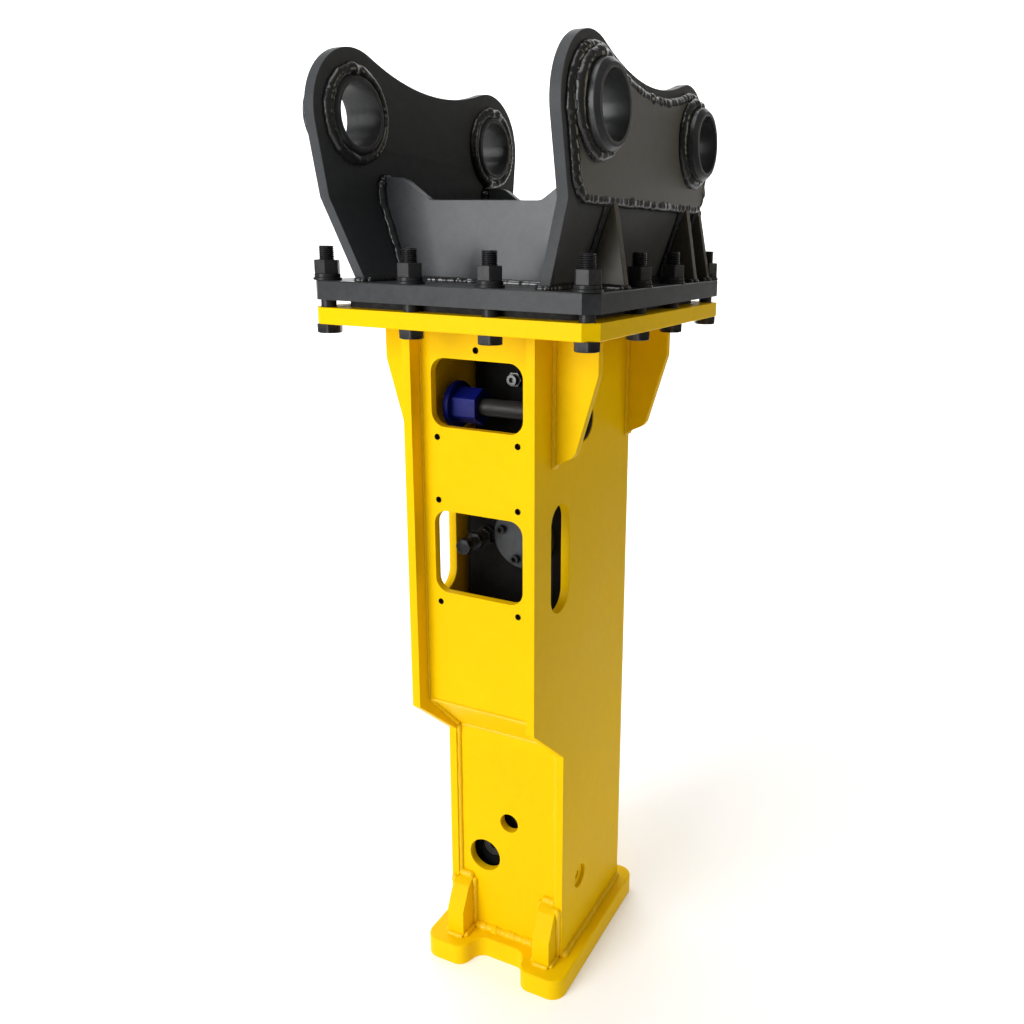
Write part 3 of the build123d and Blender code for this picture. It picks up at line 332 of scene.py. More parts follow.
# the doubler's black paint is a much lighter, warm copy of the black paint: the lightness is a painted glossy
# reflection
DOUBLER_REFLECTION_BLACK = paint("black_paint_doubler_painted_reflection", (0.088, 0.082, 0.072), (0.070, 0.065, 0.057), (0.108, 0.100, 0.088), 0.30, 0.12,
                     peel=0.32, coat_rough=0.16, dust=0.02, chip=(0.12, 0.11, 0.09), spec=0.4, edge=(0.14, 0.14, 0.13))
BOSS_BLACK = paint("black_paint_boss", (0.026, 0.027, 0.029), (0.020, 0.021, 0.023), (0.034, 0.035, 0.038), 0.30, 0.08,
                   peel=0.18, coat_rough=0.16, chip=(0.12, 0.11, 0.10), spec=0.28, edge=(0.12, 0.12, 0.12))
# the ribs' black paint is tinted warm olive: a painted reflection of the yellow housing
RIB_YELLOW_REFLECTION_BLACK = paint("black_paint_rib_yellow_reflection", (0.034, 0.027, 0.008), (0.024, 0.019, 0.0058), (0.045, 0.036, 0.012), 0.34,
                   0.06, peel=0.32, coat_rough=0.20, dust=0.02, chip=(0.07, 0.06, 0.045), spec=0.24,
                   edge=(0.08, 0.075, 0.06))
BLACK_WELD = paint("black_paint_on_weld", (0.014, 0.0138, 0.0135), (0.010, 0.010, 0.0098), (0.020, 0.0195, 0.019), 0.28,
                   0.24, peel=0.08, coat_rough=0.11, spec=0.32)
GLOSSY_WELD = paint("black_paint_on_wing_weld", (0.016, 0.0162, 0.0165), (0.011, 0.011, 0.0115), (0.024, 0.024, 0.024),
                    0.22, 0.6, peel=0.10, coat_rough=0.08, spec=0.5)
# the black paint of the hammer inside the housing is made several times darker than the outer black paint: painted
# shade of the dark interior
BODY_PAINT_SHADED = paint("body_paint", (0.0024, 0.0024, 0.0024), (0.0016, 0.0016, 0.0016), (0.0045, 0.0044, 0.0042), 0.45, 0.0, peel=0.4,
             coat_rough=0.3, spec=0.06, edge=(0.02, 0.02, 0.021))
# the front cross plate's black paint is lighter and bluer than the rear plate's: a painted reflection of the light in
# front
CROSS_PLATE_REFLECTION_BLACK = paint("black_paint_cross_plate_reflection", (0.022, 0.026, 0.032), (0.017, 0.020, 0.025), (0.029, 0.034, 0.041), 0.34, 0.08,
                   peel=0.28, coat_rough=0.20, dust=0.03, chip=(0.06, 0.058, 0.055), spec=0.35, edge=(0.09, 0.092, 0.096))
OXIDE = oxide("black_oxide", (0.0055, 0.0055, 0.006), (0.035, 0.035, 0.037), 0.30)
PIPE = oxide("phosphated_pipe", (0.0045, 0.0045, 0.0048), (0.03, 0.03, 0.03), 0.36)
ZINC = steel("grey_fitting", (0.16, 0.165, 0.17), 0.34)
BRIGHT = steel("bright_steel", (0.42, 0.42, 0.43), 0.30)
COVER = steel("ground_cover", (0.045, 0.048, 0.052), 0.42, stretch=(1.0, 30.0, 1.0), metallic=0.6,
              tarnish=(0.03, 0.028, 0.026))
BRONZE = steel("bronze", (0.60, 0.38, 0.16), 0.32)
RUBBER = rubber("rubber")
SEAL = rubber("seal", (0.03, 0.02, 0.012), 0.45)
BLUE = plastic("blue_plastic", (0.0010, 0.0055, 0.15), 0.45)
BLACKPL = plastic("black_plastic", (0.018, 0.018, 0.02), 0.40)

SLOT_MATS = {"black_paint": BLACK, "yellow_paint": YELLOW, "black_oxide": OXIDE, "rubber": RUBBER,
             "body_paint": BODY_PAINT_SHADED, "bright_steel": BRIGHT, "bronze": BRONZE, "seal": SEAL, "blue_plastic": BLUE,
             "black_plastic": BLACKPL}
NODE_SLOT = {s["node"]: s["material_slot"] for s in frame["record"]["subparts"]}
for node, ob in NODES.items():
    ob.data.materials.clear()
    ob.data.materials.append(SLOT_MATS[NODE_SLOT[node]])
NODES["valve_cover"].data.materials[0] = COVER
NODES["inlet_pipe"].data.materials[0] = PIPE
NODES["gas_charge_valve"].data.materials[0] = ZINC
NODES["valve_cover_screws"].data.materials[0] = OXIDE
NODES["cross_plate_front"].data.materials[0] = CROSS_PLATE_REFLECTION_BLACK
OWN_MATS = {"cross_plate_front": CROSS_PLATE_REFLECTION_BLACK, "valve_cover": COVER, "inlet_pipe": PIPE, "gas_charge_valve": ZINC}
for side in ("left", "right"):
    OWN_MATS["ear_doubler_" + side] = DOUBLER_REFLECTION_BLACK
    for place in ("front", "rear"):
        OWN_MATS["pin_boss_%s_%s" % (place, side)] = BOSS_BLACK
    OWN_MATS["ear_" + side] = EAR_REFLECTION_BLACK
    OWN_MATS["ear_ribs_" + side] = RIB_YELLOW_REFLECTION_BLACK


# ---------------------------------------------------------------------------
# mesh helpers
# ---------------------------------------------------------------------------
def finish_mesh(bm, name, mat, body, angle=35.0, weighted=False):
    """Turns a bmesh in millimetres into a piece that rides on a body."""
    bmesh.ops.recalc_face_normals(bm, faces=bm.faces)
    for f in bm.faces:
        f.smooth = True
    for e in bm.edges:
        e.smooth = not (len(e.link_faces) == 2 and e.calc_face_angle(0.0) > math.radians(angle))
    me = bpy.data.meshes.new(name)
    bm.to_mesh(me)
    bm.free()
    me.transform(Matrix.Scale(MM, 4) @ Matrix.Translation(SHIFT))
    me.materials.append(mat)
    ob = bpy.data.objects.new(name, me)
    bpy.context.scene.collection.objects.link(ob)
    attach(ob, body)
    return ob


def softened(node, width=1.2, segments=2, angle=25.0, mat=None):
    """The node's own shape with its arrises rounded as ground and painted plate has them."""
    src = NODES[node]
    me = src.data.copy()
    name = node + ".finish"
    ob = bpy.data.objects.new(name, me)
    bpy.context.scene.collection.objects.link(ob)
    bm = bmesh.new()
    bm.from_mesh(me)
    bmesh.ops.remove_doubles(bm, verts=bm.verts, dist=1e-6)
    bmesh.ops.dissolve_limit(bm, angle_limit=math.radians(0.8), verts=bm.verts, edges=bm.edges)
    bm.to_mesh(me)
    bm.free()
    bev = ob.modifiers.new("bevel", "BEVEL")
    bev.width = width * MM
    bev.segments = segments
    bev.limit_method = "ANGLE"
    bev.angle_limit = math.radians(angle)
    bev.use_clamp_overlap = True
    bev.harden_normals = False
    bev.miter_outer = "MITER_ARC"
    bpy.context.view_layer.update()
    dg = bpy.context.evaluated_depsgraph_get()
    out = bpy.data.meshes.new_from_object(ob.evaluated_get(dg))
    ob.modifiers.clear()
    ob.data = out
    bm = bmesh.new()
    bm.from_mesh(out)
    for f in bm.faces:
        f.smooth = True
    for e in bm.edges:
        e.smooth = not (len(e.link_faces) == 2 and e.calc_face_angle(0.0) > math.radians(50))
    bm.to_mesh(out)
    bm.free()
    out.materials.clear()
    out.materials.append(mat or OWN_MATS.get(node) or SLOT_MATS[NODE_SLOT[node]])
    wn = ob.modifiers.new("normals", "WEIGHTED_NORMAL")
    wn.keep_sharp = True
    wn.weight = 80
    bpy.context.view_layer.update()
    dg = bpy.context.evaluated_depsgraph_get()
    out2 = bpy.data.meshes.new_from_object(ob.evaluated_get(dg))
    ob.modifiers.clear()
    ob.data = out2
    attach(ob, src["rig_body"])
    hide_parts(node)
    return ob


for node in ("bracket_base_plate", "ear_left", "ear_right", "ear_doubler_left", "ear_doubler_right",
             "pin_boss_front_left", "pin_boss_front_right", "pin_boss_rear_left", "pin_boss_rear_right",
             "ear_ribs_left", "ear_ribs_right", "cross_plate_front", "cross_plate_rear",
             "housing_top_flange", "side_plate_left", "side_plate_right", "flange_gussets_left",
             "flange_gussets_right", "claw_left", "claw_right", "front_plate_upper", "front_plate_lower",
             "front_plate_step", "back_plate", "bottom_plate", "access_plug"):
    softened(node)


def resample(pts, step, closed):
    pts = [Vector(p) for p in pts]
    if closed:
        pts = pts + [pts[0]]
    out, carry = [pts[0].copy()], 0.0
    for a, b in zip(pts, pts[1:]):
        d = (b - a).length
        if d < 1e-6:
            continue
        t = step - carry
        while t <= d:
            out.append(a.lerp(b, t / d))
            t += step
        carry = d - (t - step)
    if closed:
        if (out[-1] - out[0]).length < step * 0.5:
            out.pop()
    elif (out[-1] - pts[-1]).length > 0.2 * step:
        out.append(pts[-1].copy())
    return out


def bead(bm, pts, r=6.0, closed=False, step=1.6, pitch=4.6, ripple=0.05, wander=0.5, lumps=(), seed=0, sides=14,
         flat=None, flat_k=1.0):
    """A weld bead: a closed tube with overlapping crescents along a path, in millimetres.

    lumps are (position along the path 0..1, half length in mm, swelling) for starts and stops.
    flat is a direction in which the section is scaled by flat_k.
    """
    path = resample(pts, step, closed)
    n = len(path)
    if n < 3:
        return
    length = step * (n if closed else n - 1)
    tang = []
    for i in range(n):
        a = path[(i - 1) % n] if (closed or i > 0) else path[0]
        b = path[(i + 1) % n] if (closed or i < n - 1) else path[-1]
        tang.append((b - a).normalized())
    ref = Vector((0, 0, 1)) if abs(tang[0].z) < 0.8 else Vector((0, 1, 0))
    u = (ref - tang[0] * ref.dot(tang[0])).normalized()
    rings = []
    for i in range(n):
        t = tang[i]
        u = (u - t * u.dot(t)).normalized()
        v = t.cross(u)
        s = i * step
        w = noise.noise(Vector((s * 0.045 + seed * 7.3, seed * 1.7, 0.3)))
        w2 = noise.noise(Vector((s * 0.09 + seed * 3.1, 4.2, seed * 2.3)))
        w3 = noise.noise(Vector((s * 0.16 + seed * 2.9, seed * 0.7, 8.1)))
        size = r * (1.0 + 0.12 * w2 + 0.09 * w3)
        for pos, half, swell in lumps:
            d = abs(s - pos * length)
            if closed:
                d = min(d, length - d)
            size *= 1.0 + swell * math.exp(-(d / half) ** 2)
        if not closed:
            e = min(s, length - s)
            if e < r:
                size *= 0.35 + 0.65 * math.sqrt(max(0.0, 1 - (1 - e / r) ** 2))
        c = path[i] + (u * w + v * w2) * wander
        ring = []
        for k in range(sides):
            a = 2 * math.pi * k / sides
            ph = (s + 0.55 * size * math.cos(a)) / pitch + 0.25 * w
            wave = abs(math.sin(math.pi * ph))
            rr = size * (1 - ripple + ripple * wave)
            off = (u * math.cos(a) + v * math.sin(a)) * rr
            if flat is not None:
                off += flat * off.dot(flat) * (flat_k - 1.0)
            ring.append(bm.verts.new(c + off))
        rings.append(ring)
    for i in range(n if closed else n - 1):
        a, b = rings[i], rings[(i + 1) % n]
        if closed and i == n - 1:
            # join to the nearest matching start so that the seam doesn't twist
            best = min(range(sides), key=lambda k: (a[0].co - b[k].co).length)
            b = b[best:] + b[:best]
        for k in range(sides):
            bm.faces.new((a[k], a[(k + 1) % sides], b[(k + 1) % sides], b[k]))
    if not closed:
        for ring, c in ((rings[0], path[0]), (rings[-1], path[-1])):
            t = tang[0] if ring is rings[0] else -tang[-1]
            tip = bm.verts.new(sum((q.co for q in ring), Vector()) / sides - t * r * 0.15)
            for k in range(sides):
                bm.faces.new((ring[k], ring[(k + 1) % sides], tip))


def blob(bm, c, r, seed=0, squash=(1.0, 1.0, 1.0), subdivisions=3):
    """A lump of weld metal."""
    geo = bmesh.ops.create_icosphere(bm, subdivisions=subdivisions, radius=1.0)
    for v in geo["verts"]:
        d = v.co.normalized()
        k = r * (1 + 0.22 * noise.noise(d * 1.6 + Vector((seed * 5.1, 0, 0))) + 0.08 * noise.noise(d * 4.5 + Vector((0, seed, 0))))
        v.co = Vector(c) + Vector((d.x * squash[0], d.y * squash[1], d.z * squash[2])) * k


def arc(c, r, a0, a1, n, plane="yz", x=0.0):
    pts = []
    for i in range(n + 1):
        a = a0 + (a1 - a0) * i / n
        p, q = c[0] + r * math.cos(a), c[1] + r * math.sin(a)
        pts.append((x, p, q) if plane == "yz" else (p, q, x))
    return pts


def rims(node, axis, value, tol=0.05):
    """Closed outlines of a node's flat face at axis = value, longest first, in millimetres."""
    me = NODES[node].data
    bm = bmesh.new()
    bm.from_mesh(me)
    bmesh.ops.remove_doubles(bm, verts=bm.verts, dist=1e-6)
    k = "xyz".index(axis)
    on = lambda v: abs(v.co[k] / MM - SHIFT[k] - value) < tol
    edges = []
    for e in bm.edges:
        if on(e.verts[0]) and on(e.verts[1]):
            flat = sum(1 for f in e.link_faces if all(on(v) for v in f.verts))
            if flat == 1:
                edges.append(e)
    left, loops = set(edges), []
    while left:
        e = left.pop()
        loop = [e.verts[0], e.verts[1]]
        while True:
            nxt = next((q for q in loop[-1].link_edges if q in left), None)
            if nxt is None:
                break
            left.discard(nxt)
            loop.append(nxt.other_vert(loop[-1]))
        if loop[0] is loop[-1]:
            loop.pop()
        loops.append([v.co / MM - SHIFT for v in loop])
    bm.free()
    length = lambda p: sum((a - b).length for a, b in zip(p, p[1:] + p[:1]))
    return sorted(loops, key=length, reverse=True)


def outward(pts, normal, d, lift):
    """Moves a closed outline outwards in its plane by d and along the normal by lift."""
    n = len(pts)
    area = Vector()
    for a, b in zip(pts, pts[1:] + pts[:1]):
        area += a.cross(b)
    flip = 1.0 if area.dot(normal) > 0 else -1.0
    out = []
    for i in range(n):
        t = (pts[(i + 1) % n] - pts[i - 1]).normalized()
        out.append(pts[i] + t.cross(normal) * flip * d + normal * lift)
    return out


# ---------------------------------------------------------------------------
# bracket welds
# ---------------------------------------------------------------------------
for side, s in (("left", -1), ("right", 1)):
    nx = Vector((s, 0, 0))
    # round the doubler
    bm = bmesh.new()
    loop = rims("ear_doubler_" + side, "x", s * DOUBLER_X1)[0]
    loop = resample(loop, 4.0, True)
    path = outward(loop, nx, 2.6, DOUBLER_X0 - DOUBLER_X1 + 2.2)
    bead(bm, path, r=9.0, closed=True, step=1.8, pitch=8.5, ripple=0.04, wander=1.2, seed=3 + s,
         lumps=((0.12, 12, 0.16), (0.27, 8, 0.2), (0.37, 14, 0.14), (0.58, 9, 0.2), (0.71, 12, 0.15), (0.83, 10, 0.16)))
    finish_mesh(bm, "doubler_weld_" + side, BLACK_WELD, "housing")
    # round the bosses, outside on the doubler and inside on the ear
    for place in ("front", "rear"):
        cy, cz = boss_centre(place)
        bm = bmesh.new()
        for r0, x, seed in ((BOSS_R + 4.0, DOUBLER_X1 + 2.6, 1), (BOSS_R + 4.0, EAR_XI - 2.2, 2)):
            ring = arc((cy, cz), r0, 0, 2 * math.pi, 160, "yz", s * x)[:-1]
            bead(bm, ring, r=9.4, closed=True, step=1.8, pitch=8.5, ripple=0.04, wander=1.3,
                 seed=seed * 3 + s + (5 if place == "front" else 0),
                 lumps=((0.21, 9, 0.22), (0.27, 8, 0.30), (0.45, 12, 0.12), (0.7, 12, 0.14), (0.9, 10, 0.12)))
        for x, k in ((DOUBLER_X1 + 5, 0), (EAR_XI - 5, 1)):
            blob(bm, (s * x, cy - 7, cz + BOSS_R + 8), 7.0, seed=2 + s + k, squash=(0.7, 1.3, 0.8))
            blob(bm, (s * x, cy + 8, cz + BOSS_R + 6), 6.5, seed=9 + s + k, squash=(0.7, 1.2, 0.9))
        finish_mesh(bm, "boss_weld_%s_%s" % (place, side), BLACK_WELD, "housing")
    # ear to base plate, in and out
    bm = bmesh.new()
    inner_stops = [y + k * STIFF_T / 2 for y in STIFF_Y for k in (-1, 1)]
    ys = [EAR_F + 3] + inner_stops + [EAR_R - 3]
    for a, b, j in zip(ys[0::2], ys[1::2], range(9)):
        bead(bm, [(s * (EAR_XB - 1.5), a, BASE_Z1 + 1.5), (s * (EAR_XB - 1.5), b, BASE_Z1 + 1.5)], r=6.5, seed=j + 11,
             wander=0.6)
    outer_stops = inner_stops + [REAR_RIB_Y - 7, REAR_RIB_Y + 7]
    ys = [EAR_F + 3] + outer_stops + [EAR_R - 2]
    for a, b, j in zip(ys[0::2], ys[1::2], range(9)):
        if b - a > 6:
            bead(bm, [(s * (EAR_XB + EAR_T + 1.5), a, BASE_Z1 + 1.8), (s * (EAR_XB + EAR_T + 1.5), b, BASE_Z1 + 1.8)],
                 r=7.5, seed=j + 17, wander=0.7, lumps=((0.5, 14, 0.15),))
    for y, j in ((EAR_F - 1, 1), (EAR_R + 1, 2)):
        bead(bm, [(s * (EAR_XB - 1), y, BASE_Z1 + 1.5), (s * (EAR_XB + EAR_T + 1), y, BASE_Z1 + 1.5)], r=5.5,
             seed=j + 31, wander=0.4)
    finish_mesh(bm, "ear_foot_weld_" + side, BLACK_WELD, "housing")
    # ribs to the ear and to the base plate
    bm = bmesh.new()
    for y, t, j in ((STIFF_Y[0], STIFF_T, 0), (STIFF_Y[1], STIFF_T, 1), (REAR_RIB_Y, 14.0, 2)):
        for k in (-1, 1):
            yy = y + k * (t / 2 + 0.8)
            bead(bm, [(s * (EAR_XB + EAR_T + 2.0), yy, BASE_Z1 + 2), (s * (EAR_XI + EAR_T + 1.0), yy, BEND_Z - 3),
                      (s * (EAR_XI + EAR_T + 1.0), yy, RIB_TOP - 2)], r=7.0, seed=j * 5 + k + 40, wander=1.0,
                 lumps=((0.3, 14, 0.15), (0.96, 8, 0.25)))
            bead(bm, [(s * (EAR_XB + EAR_T + 2), yy, BASE_Z1 + 1.2), (s * (RIB_X - 1), yy, BASE_Z1 + 1.2)], r=6.0,
                 seed=j * 5 + k + 50, wander=0.6)
        blob(bm, (s * (RIB_X + 0.2), y, BASE_Z1 + 2.0), 6.0, seed=j + 3, squash=(0.9, t / 11.0, 0.8))
    finish_mesh(bm, "rib_weld_" + side, BLACK_WELD, "housing")

for place, y in zip(("front", "rear"), STIFF_Y):
    bm = bmesh.new()
    for k in (-1, 1):
        yy = y + k * (STIFF_T / 2 + 0.8)
        bead(bm, [(-EAR_XB + 4, yy, BASE_Z1 + 1.2), (EAR_XB - 4, yy, BASE_Z1 + 1.2)], r=6.2, seed=60 + k, wander=0.6,
             lumps=((0.33, 8, 0.15), (0.66, 8, 0.15)))
        for s in (-1, 1):
            bead(bm, [(s * (EAR_XB - 1.5), yy, BASE_Z1 + 2), (s * (EAR_XI - 1.2), yy, BEND_Z), (s * (EAR_XI - 1.2), yy, WING_Z - 5)],
                 r=9.0, seed=70 + k + 3 * s, wander=1.6, lumps=((0.97, 8, 0.3), (0.82, 10, 0.2), (0.5, 16, 0.12), (0.05, 9, 0.2)))
    for s in (-1, 1):
        blob(bm, (s * (EAR_XI - 5), y - 2, WING_Z - 1.5), 9.0, seed=4 + s, squash=(0.9, 1.35, 0.75))
    finish_mesh(bm, "cross_plate_weld_" + place, GLOSSY_WELD, "housing")

# ---------------------------------------------------------------------------
# housing welds
# ---------------------------------------------------------------------------
for side, s in (("left", -1), ("right", 1)):
    bm = bmesh.new()
    for y, j in zip(GUSSET_Y, (0, 1)):
        for yy, k in ((y - 0.8, 0), (y + GUSSET_T + 0.8, 1)):
            bead(bm, [(s * (SIDE_X1 + 0.8), yy, GUSSET_Z0 - 2), (s * (SIDE_X1 + 0.8), yy, FLANGE_Z0 - 3)], r=5.0,
                 seed=80 + j * 2 + k, wander=0.4, ripple=0.025)
            bead(bm, [(s * (SIDE_X1 + 2), yy, FLANGE_Z0 - 0.8), (s * (GUSSET_X - 3), yy, FLANGE_Z0 - 0.8)], r=5.4,
                 seed=90 + j * 2 + k, wander=0.5)
        blob(bm, (s * (SIDE_X1 + 0.5), y + GUSSET_T / 2, GUSSET_Z0 + 1), 6.5, seed=j + 6, squash=(0.5, 1.5, 0.7))
    for a, b, j in ((SIDE_YU + 2, GUSSET_Y[0], 0), (GUSSET_Y[0] + GUSSET_T, GUSSET_Y[1], 1),
                    (GUSSET_Y[1] + GUSSET_T, SIDE_YB, 2)):
        if b - a > 6:
            bead(bm, [(s * (SIDE_X1 + 0.8), a, FLANGE_Z0 - 0.8), (s * (SIDE_X1 + 0.8), b, FLANGE_Z0 - 0.8)], r=6.0,
                 seed=100 + j, wander=0.6)
    bead(bm, [(s * (SIDE_X0 + 1), SIDE_YU - 0.4, FLANGE_Z0 - 1.0), (s * (SIDE_X1 - 1), SIDE_YU - 0.4, FLANGE_Z0 - 1.0)],
         r=4.6, seed=105, wander=0.3)
    finish_mesh(bm, "gusset_weld_" + side, YELLOW_WELD, "housing")

    # side plate to the front plates: thin above, fuller below the step
    bm = bmesh.new()
    x = s * (SIDE_X0 - 0.6)
    bead(bm, [(x, FRONT_YU - 0.4, STEP_PZU + 2), (x, FRONT_YU - 0.4, FLANGE_Z0 - 2)], r=2.2, seed=110 + s, wander=0.25,
         ripple=0.04)
    bead(bm, [(x, FRONT_YL - 0.6, FOOT_T + 3), (x, FRONT_YL - 0.6, STEP_PZL - 2)], r=5.4, seed=112 + s, wander=0.6,
         lumps=((0.97, 9, 0.25), (0.72, 12, 0.12), (0.4, 8, 0.15), (0.2, 14, 0.1)))
    bead(bm, [(x, FRONT_YL - 0.6, STEP_PZL - 2), (x, FRONT_YU - 0.4, STEP_PZU + 2)], r=4.6, seed=114 + s, wander=0.4)
    # side plate to the foot and to the back plate
    bead(bm, [(s * (SIDE_X1 + 0.8), SIDE_YL + 2, FOOT_T + 0.8), (s * (SIDE_X1 + 0.8), SIDE_YB - 2, FOOT_T + 0.8)], r=6.6,
         seed=116 + s, wander=0.6, lumps=((0.02, 9, 0.3), (0.5, 9, 0.12)))
    bead(bm, [(s * (SIDE_X0 - 0.4), BACK_Y1 + 0.2, FOOT_T + 3), (s * (SIDE_X0 - 0.4), BACK_Y1 + 0.2, FLANGE_Z0 - 3)],
         r=3.6, seed=118 + s, wander=0.3)
    finish_mesh(bm, "side_seam_" + side, YELLOW_WELD, "housing")

    # claw: down both flanks, over the top and along the foot
    bm = bmesh.new()
    lo, hi = mm("claw_" + side)
    for x, k in ((lo.x - 0.6, 0), (hi.x + 0.6, 1)):
        outer = (x > 0) == (s > 0) and abs(x) > SIDE_X0
        y1 = (SIDE_YL if outer else FRONT_YL) - 0.8
        bead(bm, [(x, y1, FOOT_T + 3), (x, y1, hi.z - 3)], r=6.6, seed=120 + k + s, wander=0.8, lumps=((0.9, 8, 0.2),))
        bead(bm, [(x, lo.y + 2, FOOT_T + 0.8), (x, y1, FOOT_T + 0.8)], r=6.4, seed=124 + k + s, wander=0.7)
    bead(bm, [(lo.x, FRONT_YL - 0.8, hi.z + 0.4), (hi.x, FRONT_YL - 0.8, hi.z + 0.4)], r=7.2, seed=128 + s, wander=0.9,
         lumps=((0.3, 6, 0.2), (0.7, 7, 0.25)))
    bead(bm, [(lo.x + 1, lo.y - 0.6, FOOT_T + 0.6), (hi.x - 1, lo.y - 0.6, FOOT_T + 0.6)], r=5.6, seed=130 + s, wander=0.6)
    finish_mesh(bm, "claw_weld_" + side, YELLOW_WELD, "housing")

bm = bmesh.new()
bead(bm, [(-CLAW_X0 + 2, FRONT_YL - 1.0, FOOT_T + 1.0), (CLAW_X0 - 2, FRONT_YL - 1.0, FOOT_T + 1.0)], r=9.0, seed=140,
     wander=1.4, ripple=0.10, pitch=8.0, lumps=((0.12, 9, 0.2), (0.3, 7, 0.22), (0.55, 8, 0.25), (0.8, 10, 0.18)))
bead(bm, [(-SIDE_X0 + 6, FRONT_YU + 0.2, STEP_PZU - 0.4), (SIDE_X0 - 6, FRONT_YU + 0.2, STEP_PZU - 0.4)], r=3.4, seed=142,
     wander=0.3)
bead(bm, [(-SIDE_X0 + 6, FRONT_YL + 0.2, STEP_PZL + 0.4), (SIDE_X0 - 6, FRONT_YL + 0.2, STEP_PZL + 0.4)], r=4.6, seed=144,
     wander=0.4)
bead(bm, [(-SIDE_X0 + 4, FRONT_YU - 0.6, FLANGE_Z0 - 0.6), (SIDE_X0 - 4, FRONT_YU - 0.6, FLANGE_Z0 - 0.6)], r=4.4, seed=146,
     wander=0.4)
bead(bm, [(-SIDE_X0 + 2, BACK_Y1 + 0.6, FOOT_T + 0.8), (SIDE_X0 - 2, BACK_Y1 + 0.6, FOOT_T + 0.8)], r=5.6, seed=148,
     wander=0.5)
bead(bm, [(-SIDE_X0 + 2, BACK_Y1 + 0.6, FLANGE_Z0 - 0.8), (SIDE_X0 - 2, BACK_Y1 + 0.6, FLANGE_Z0 - 0.8)], r=5.6, seed=150,
     wander=0.5)
finish_mesh(bm, "cross_seams", YELLOW_WELD, "housing")


# ---------------------------------------------------------------------------
# threaded studs and their heads
# ---------------------------------------------------------------------------
def lathe(bm, prof, centre, axis="z", sides=48):
    """Turns (radius, height) pairs round an axis through centre."""
    rows = []
    for r, h in prof:
        row = []
        for k in range(sides):
            a = 2 * math.pi * k / sides
            p, q = r * math.cos(a), r * math.sin(a)
            off = (p, q, h) if axis == "z" else (p, h, q) if axis == "y" else (h, p, q)
            row.append(bm.verts.new(Vector(centre) + Vector(off)))
        rows.append(row)
    for a, b in zip(rows, rows[1:]):
        for k in range(sides):
            bm.faces.new((a[k], a[(k + 1) % sides], b[(k + 1) % sides], b[k]))
    bm.faces.new(rows[0])
    bm.faces.new(rows[-1])


def thread(bm, centre, r, depth, pitch, h0, h1, axis="z", sides=40, per=6, lead=1.5):
    """A screw thread from h0 to h1 with run-outs and a chamfered end at h1."""
    n = max(2, int(round((h1 - h0) / pitch * per)))
    rows = []
    for i in range(n + 1):
        h = h0 + (h1 - h0) * i / n
        fade = min(1.0, (h - h0) / pitch)
        end = min(1.0, max(0.0, (h1 - h) / lead))
        row = []
        for k in range(sides):
            a = 2 * math.pi * k / sides
            ph = ((h - h0) / pitch - k / sides) % 1.0
            groove = 1 - abs(2 * ph - 1)
            groove = min(1.0, max(0.0, groove * 1.5 - 0.25))
            rr = r - depth * groove * fade
            rr = min(rr, r - depth * 1.1 * (1 - end))
            p, q = rr * math.cos(a), rr * math.sin(a)
            off = (p, q, h) if axis == "z" else (p, h, q)
            row.append(bm.verts.new(Vector(centre) + Vector(off)))
        rows.append(row)
    for a, b in zip(rows, rows[1:]):
        for k in range(sides):
            bm.faces.new((a[k], a[(k + 1) % sides], b[(k + 1) % sides], b[k]))
    bm.faces.new(rows[0])
    bm.faces.new(rows[-1])


def hexagon(bm, centre, af, h0, h1, cut0, cut1, turn=0.0, sides=96, axis="z"):
    """A hexagon with its corners turned off at 30 degrees at the ends that have a cut."""
    rr = af / 2
    rc = af / math.sqrt(3)
    rows = []
    heights = [h0] + ([h0 + (rc - rr) * 0.577 * j / 4 for j in range(1, 5)] if cut0 else []) \
        + ([h1 - (rc - rr) * 0.577 * j / 4 for j in range(4, 0, -1)] if cut1 else []) + [h1]
    for h in heights:
        row = []
        limit = rc
        if cut0:
            limit = min(limit, rr * 0.97 + (h - h0) / 0.577 + 0.001)
        if cut1:
            limit = min(limit, rr * 0.97 + (h1 - h) / 0.577 + 0.001)
        for k in range(sides):
            a = 2 * math.pi * k / sides
            m = (a % (math.pi / 3)) - math.pi / 6
            r = min(rr / math.cos(m), limit)
            p, q = r * math.cos(a + turn), r * math.sin(a + turn)
            off = (p, q, h) if axis == "z" else (p, h, q)
            row.append(bm.verts.new(Vector(centre) + Vector(off)))
        rows.append(row)
    for a, b in zip(rows, rows[1:]):
        for k in range(sides):
            bm.faces.new((a[k], a[(k + 1) % sides], b[(k + 1) % sides], b[k]))
    bm.faces.new(rows[0])
    bm.faces.new(rows[-1])


lo, hi = mm("flange_bolts")
HEAD_Z0, STUD_TOP = lo.z, hi.z
bm = bmesh.new()
for i, (x, y) in enumerate(BOLT_SPOTS):
    hexagon(bm, (x, y, 0), 36.0, HEAD_Z0, FLANGE_Z0 - 0.6, True, False, turn=0.0)
    lathe(bm, [(16.6, FLANGE_Z0 - 0.7), (16.6, FLANGE_Z0)], (x, y, 0))
    lathe(bm, [(12.0, FLANGE_Z0 - 0.2), (12.0, BASE_Z1 - 6)], (x, y, 0))
    thread(bm, (x, y, 0), 12.0, 1.5, 3.0, BASE_Z1 - 6.1, STUD_TOP)
ob = finish_mesh(bm, "flange_bolts.finish", OXIDE, "housing", angle=32)
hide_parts("flange_bolts")

def face_front(bm, first):
    """Pieces turned along +Y from zero are flipped to run along -Y."""
    for v in list(bm.verts)[first:]:
        v.co.y = -v.co.y


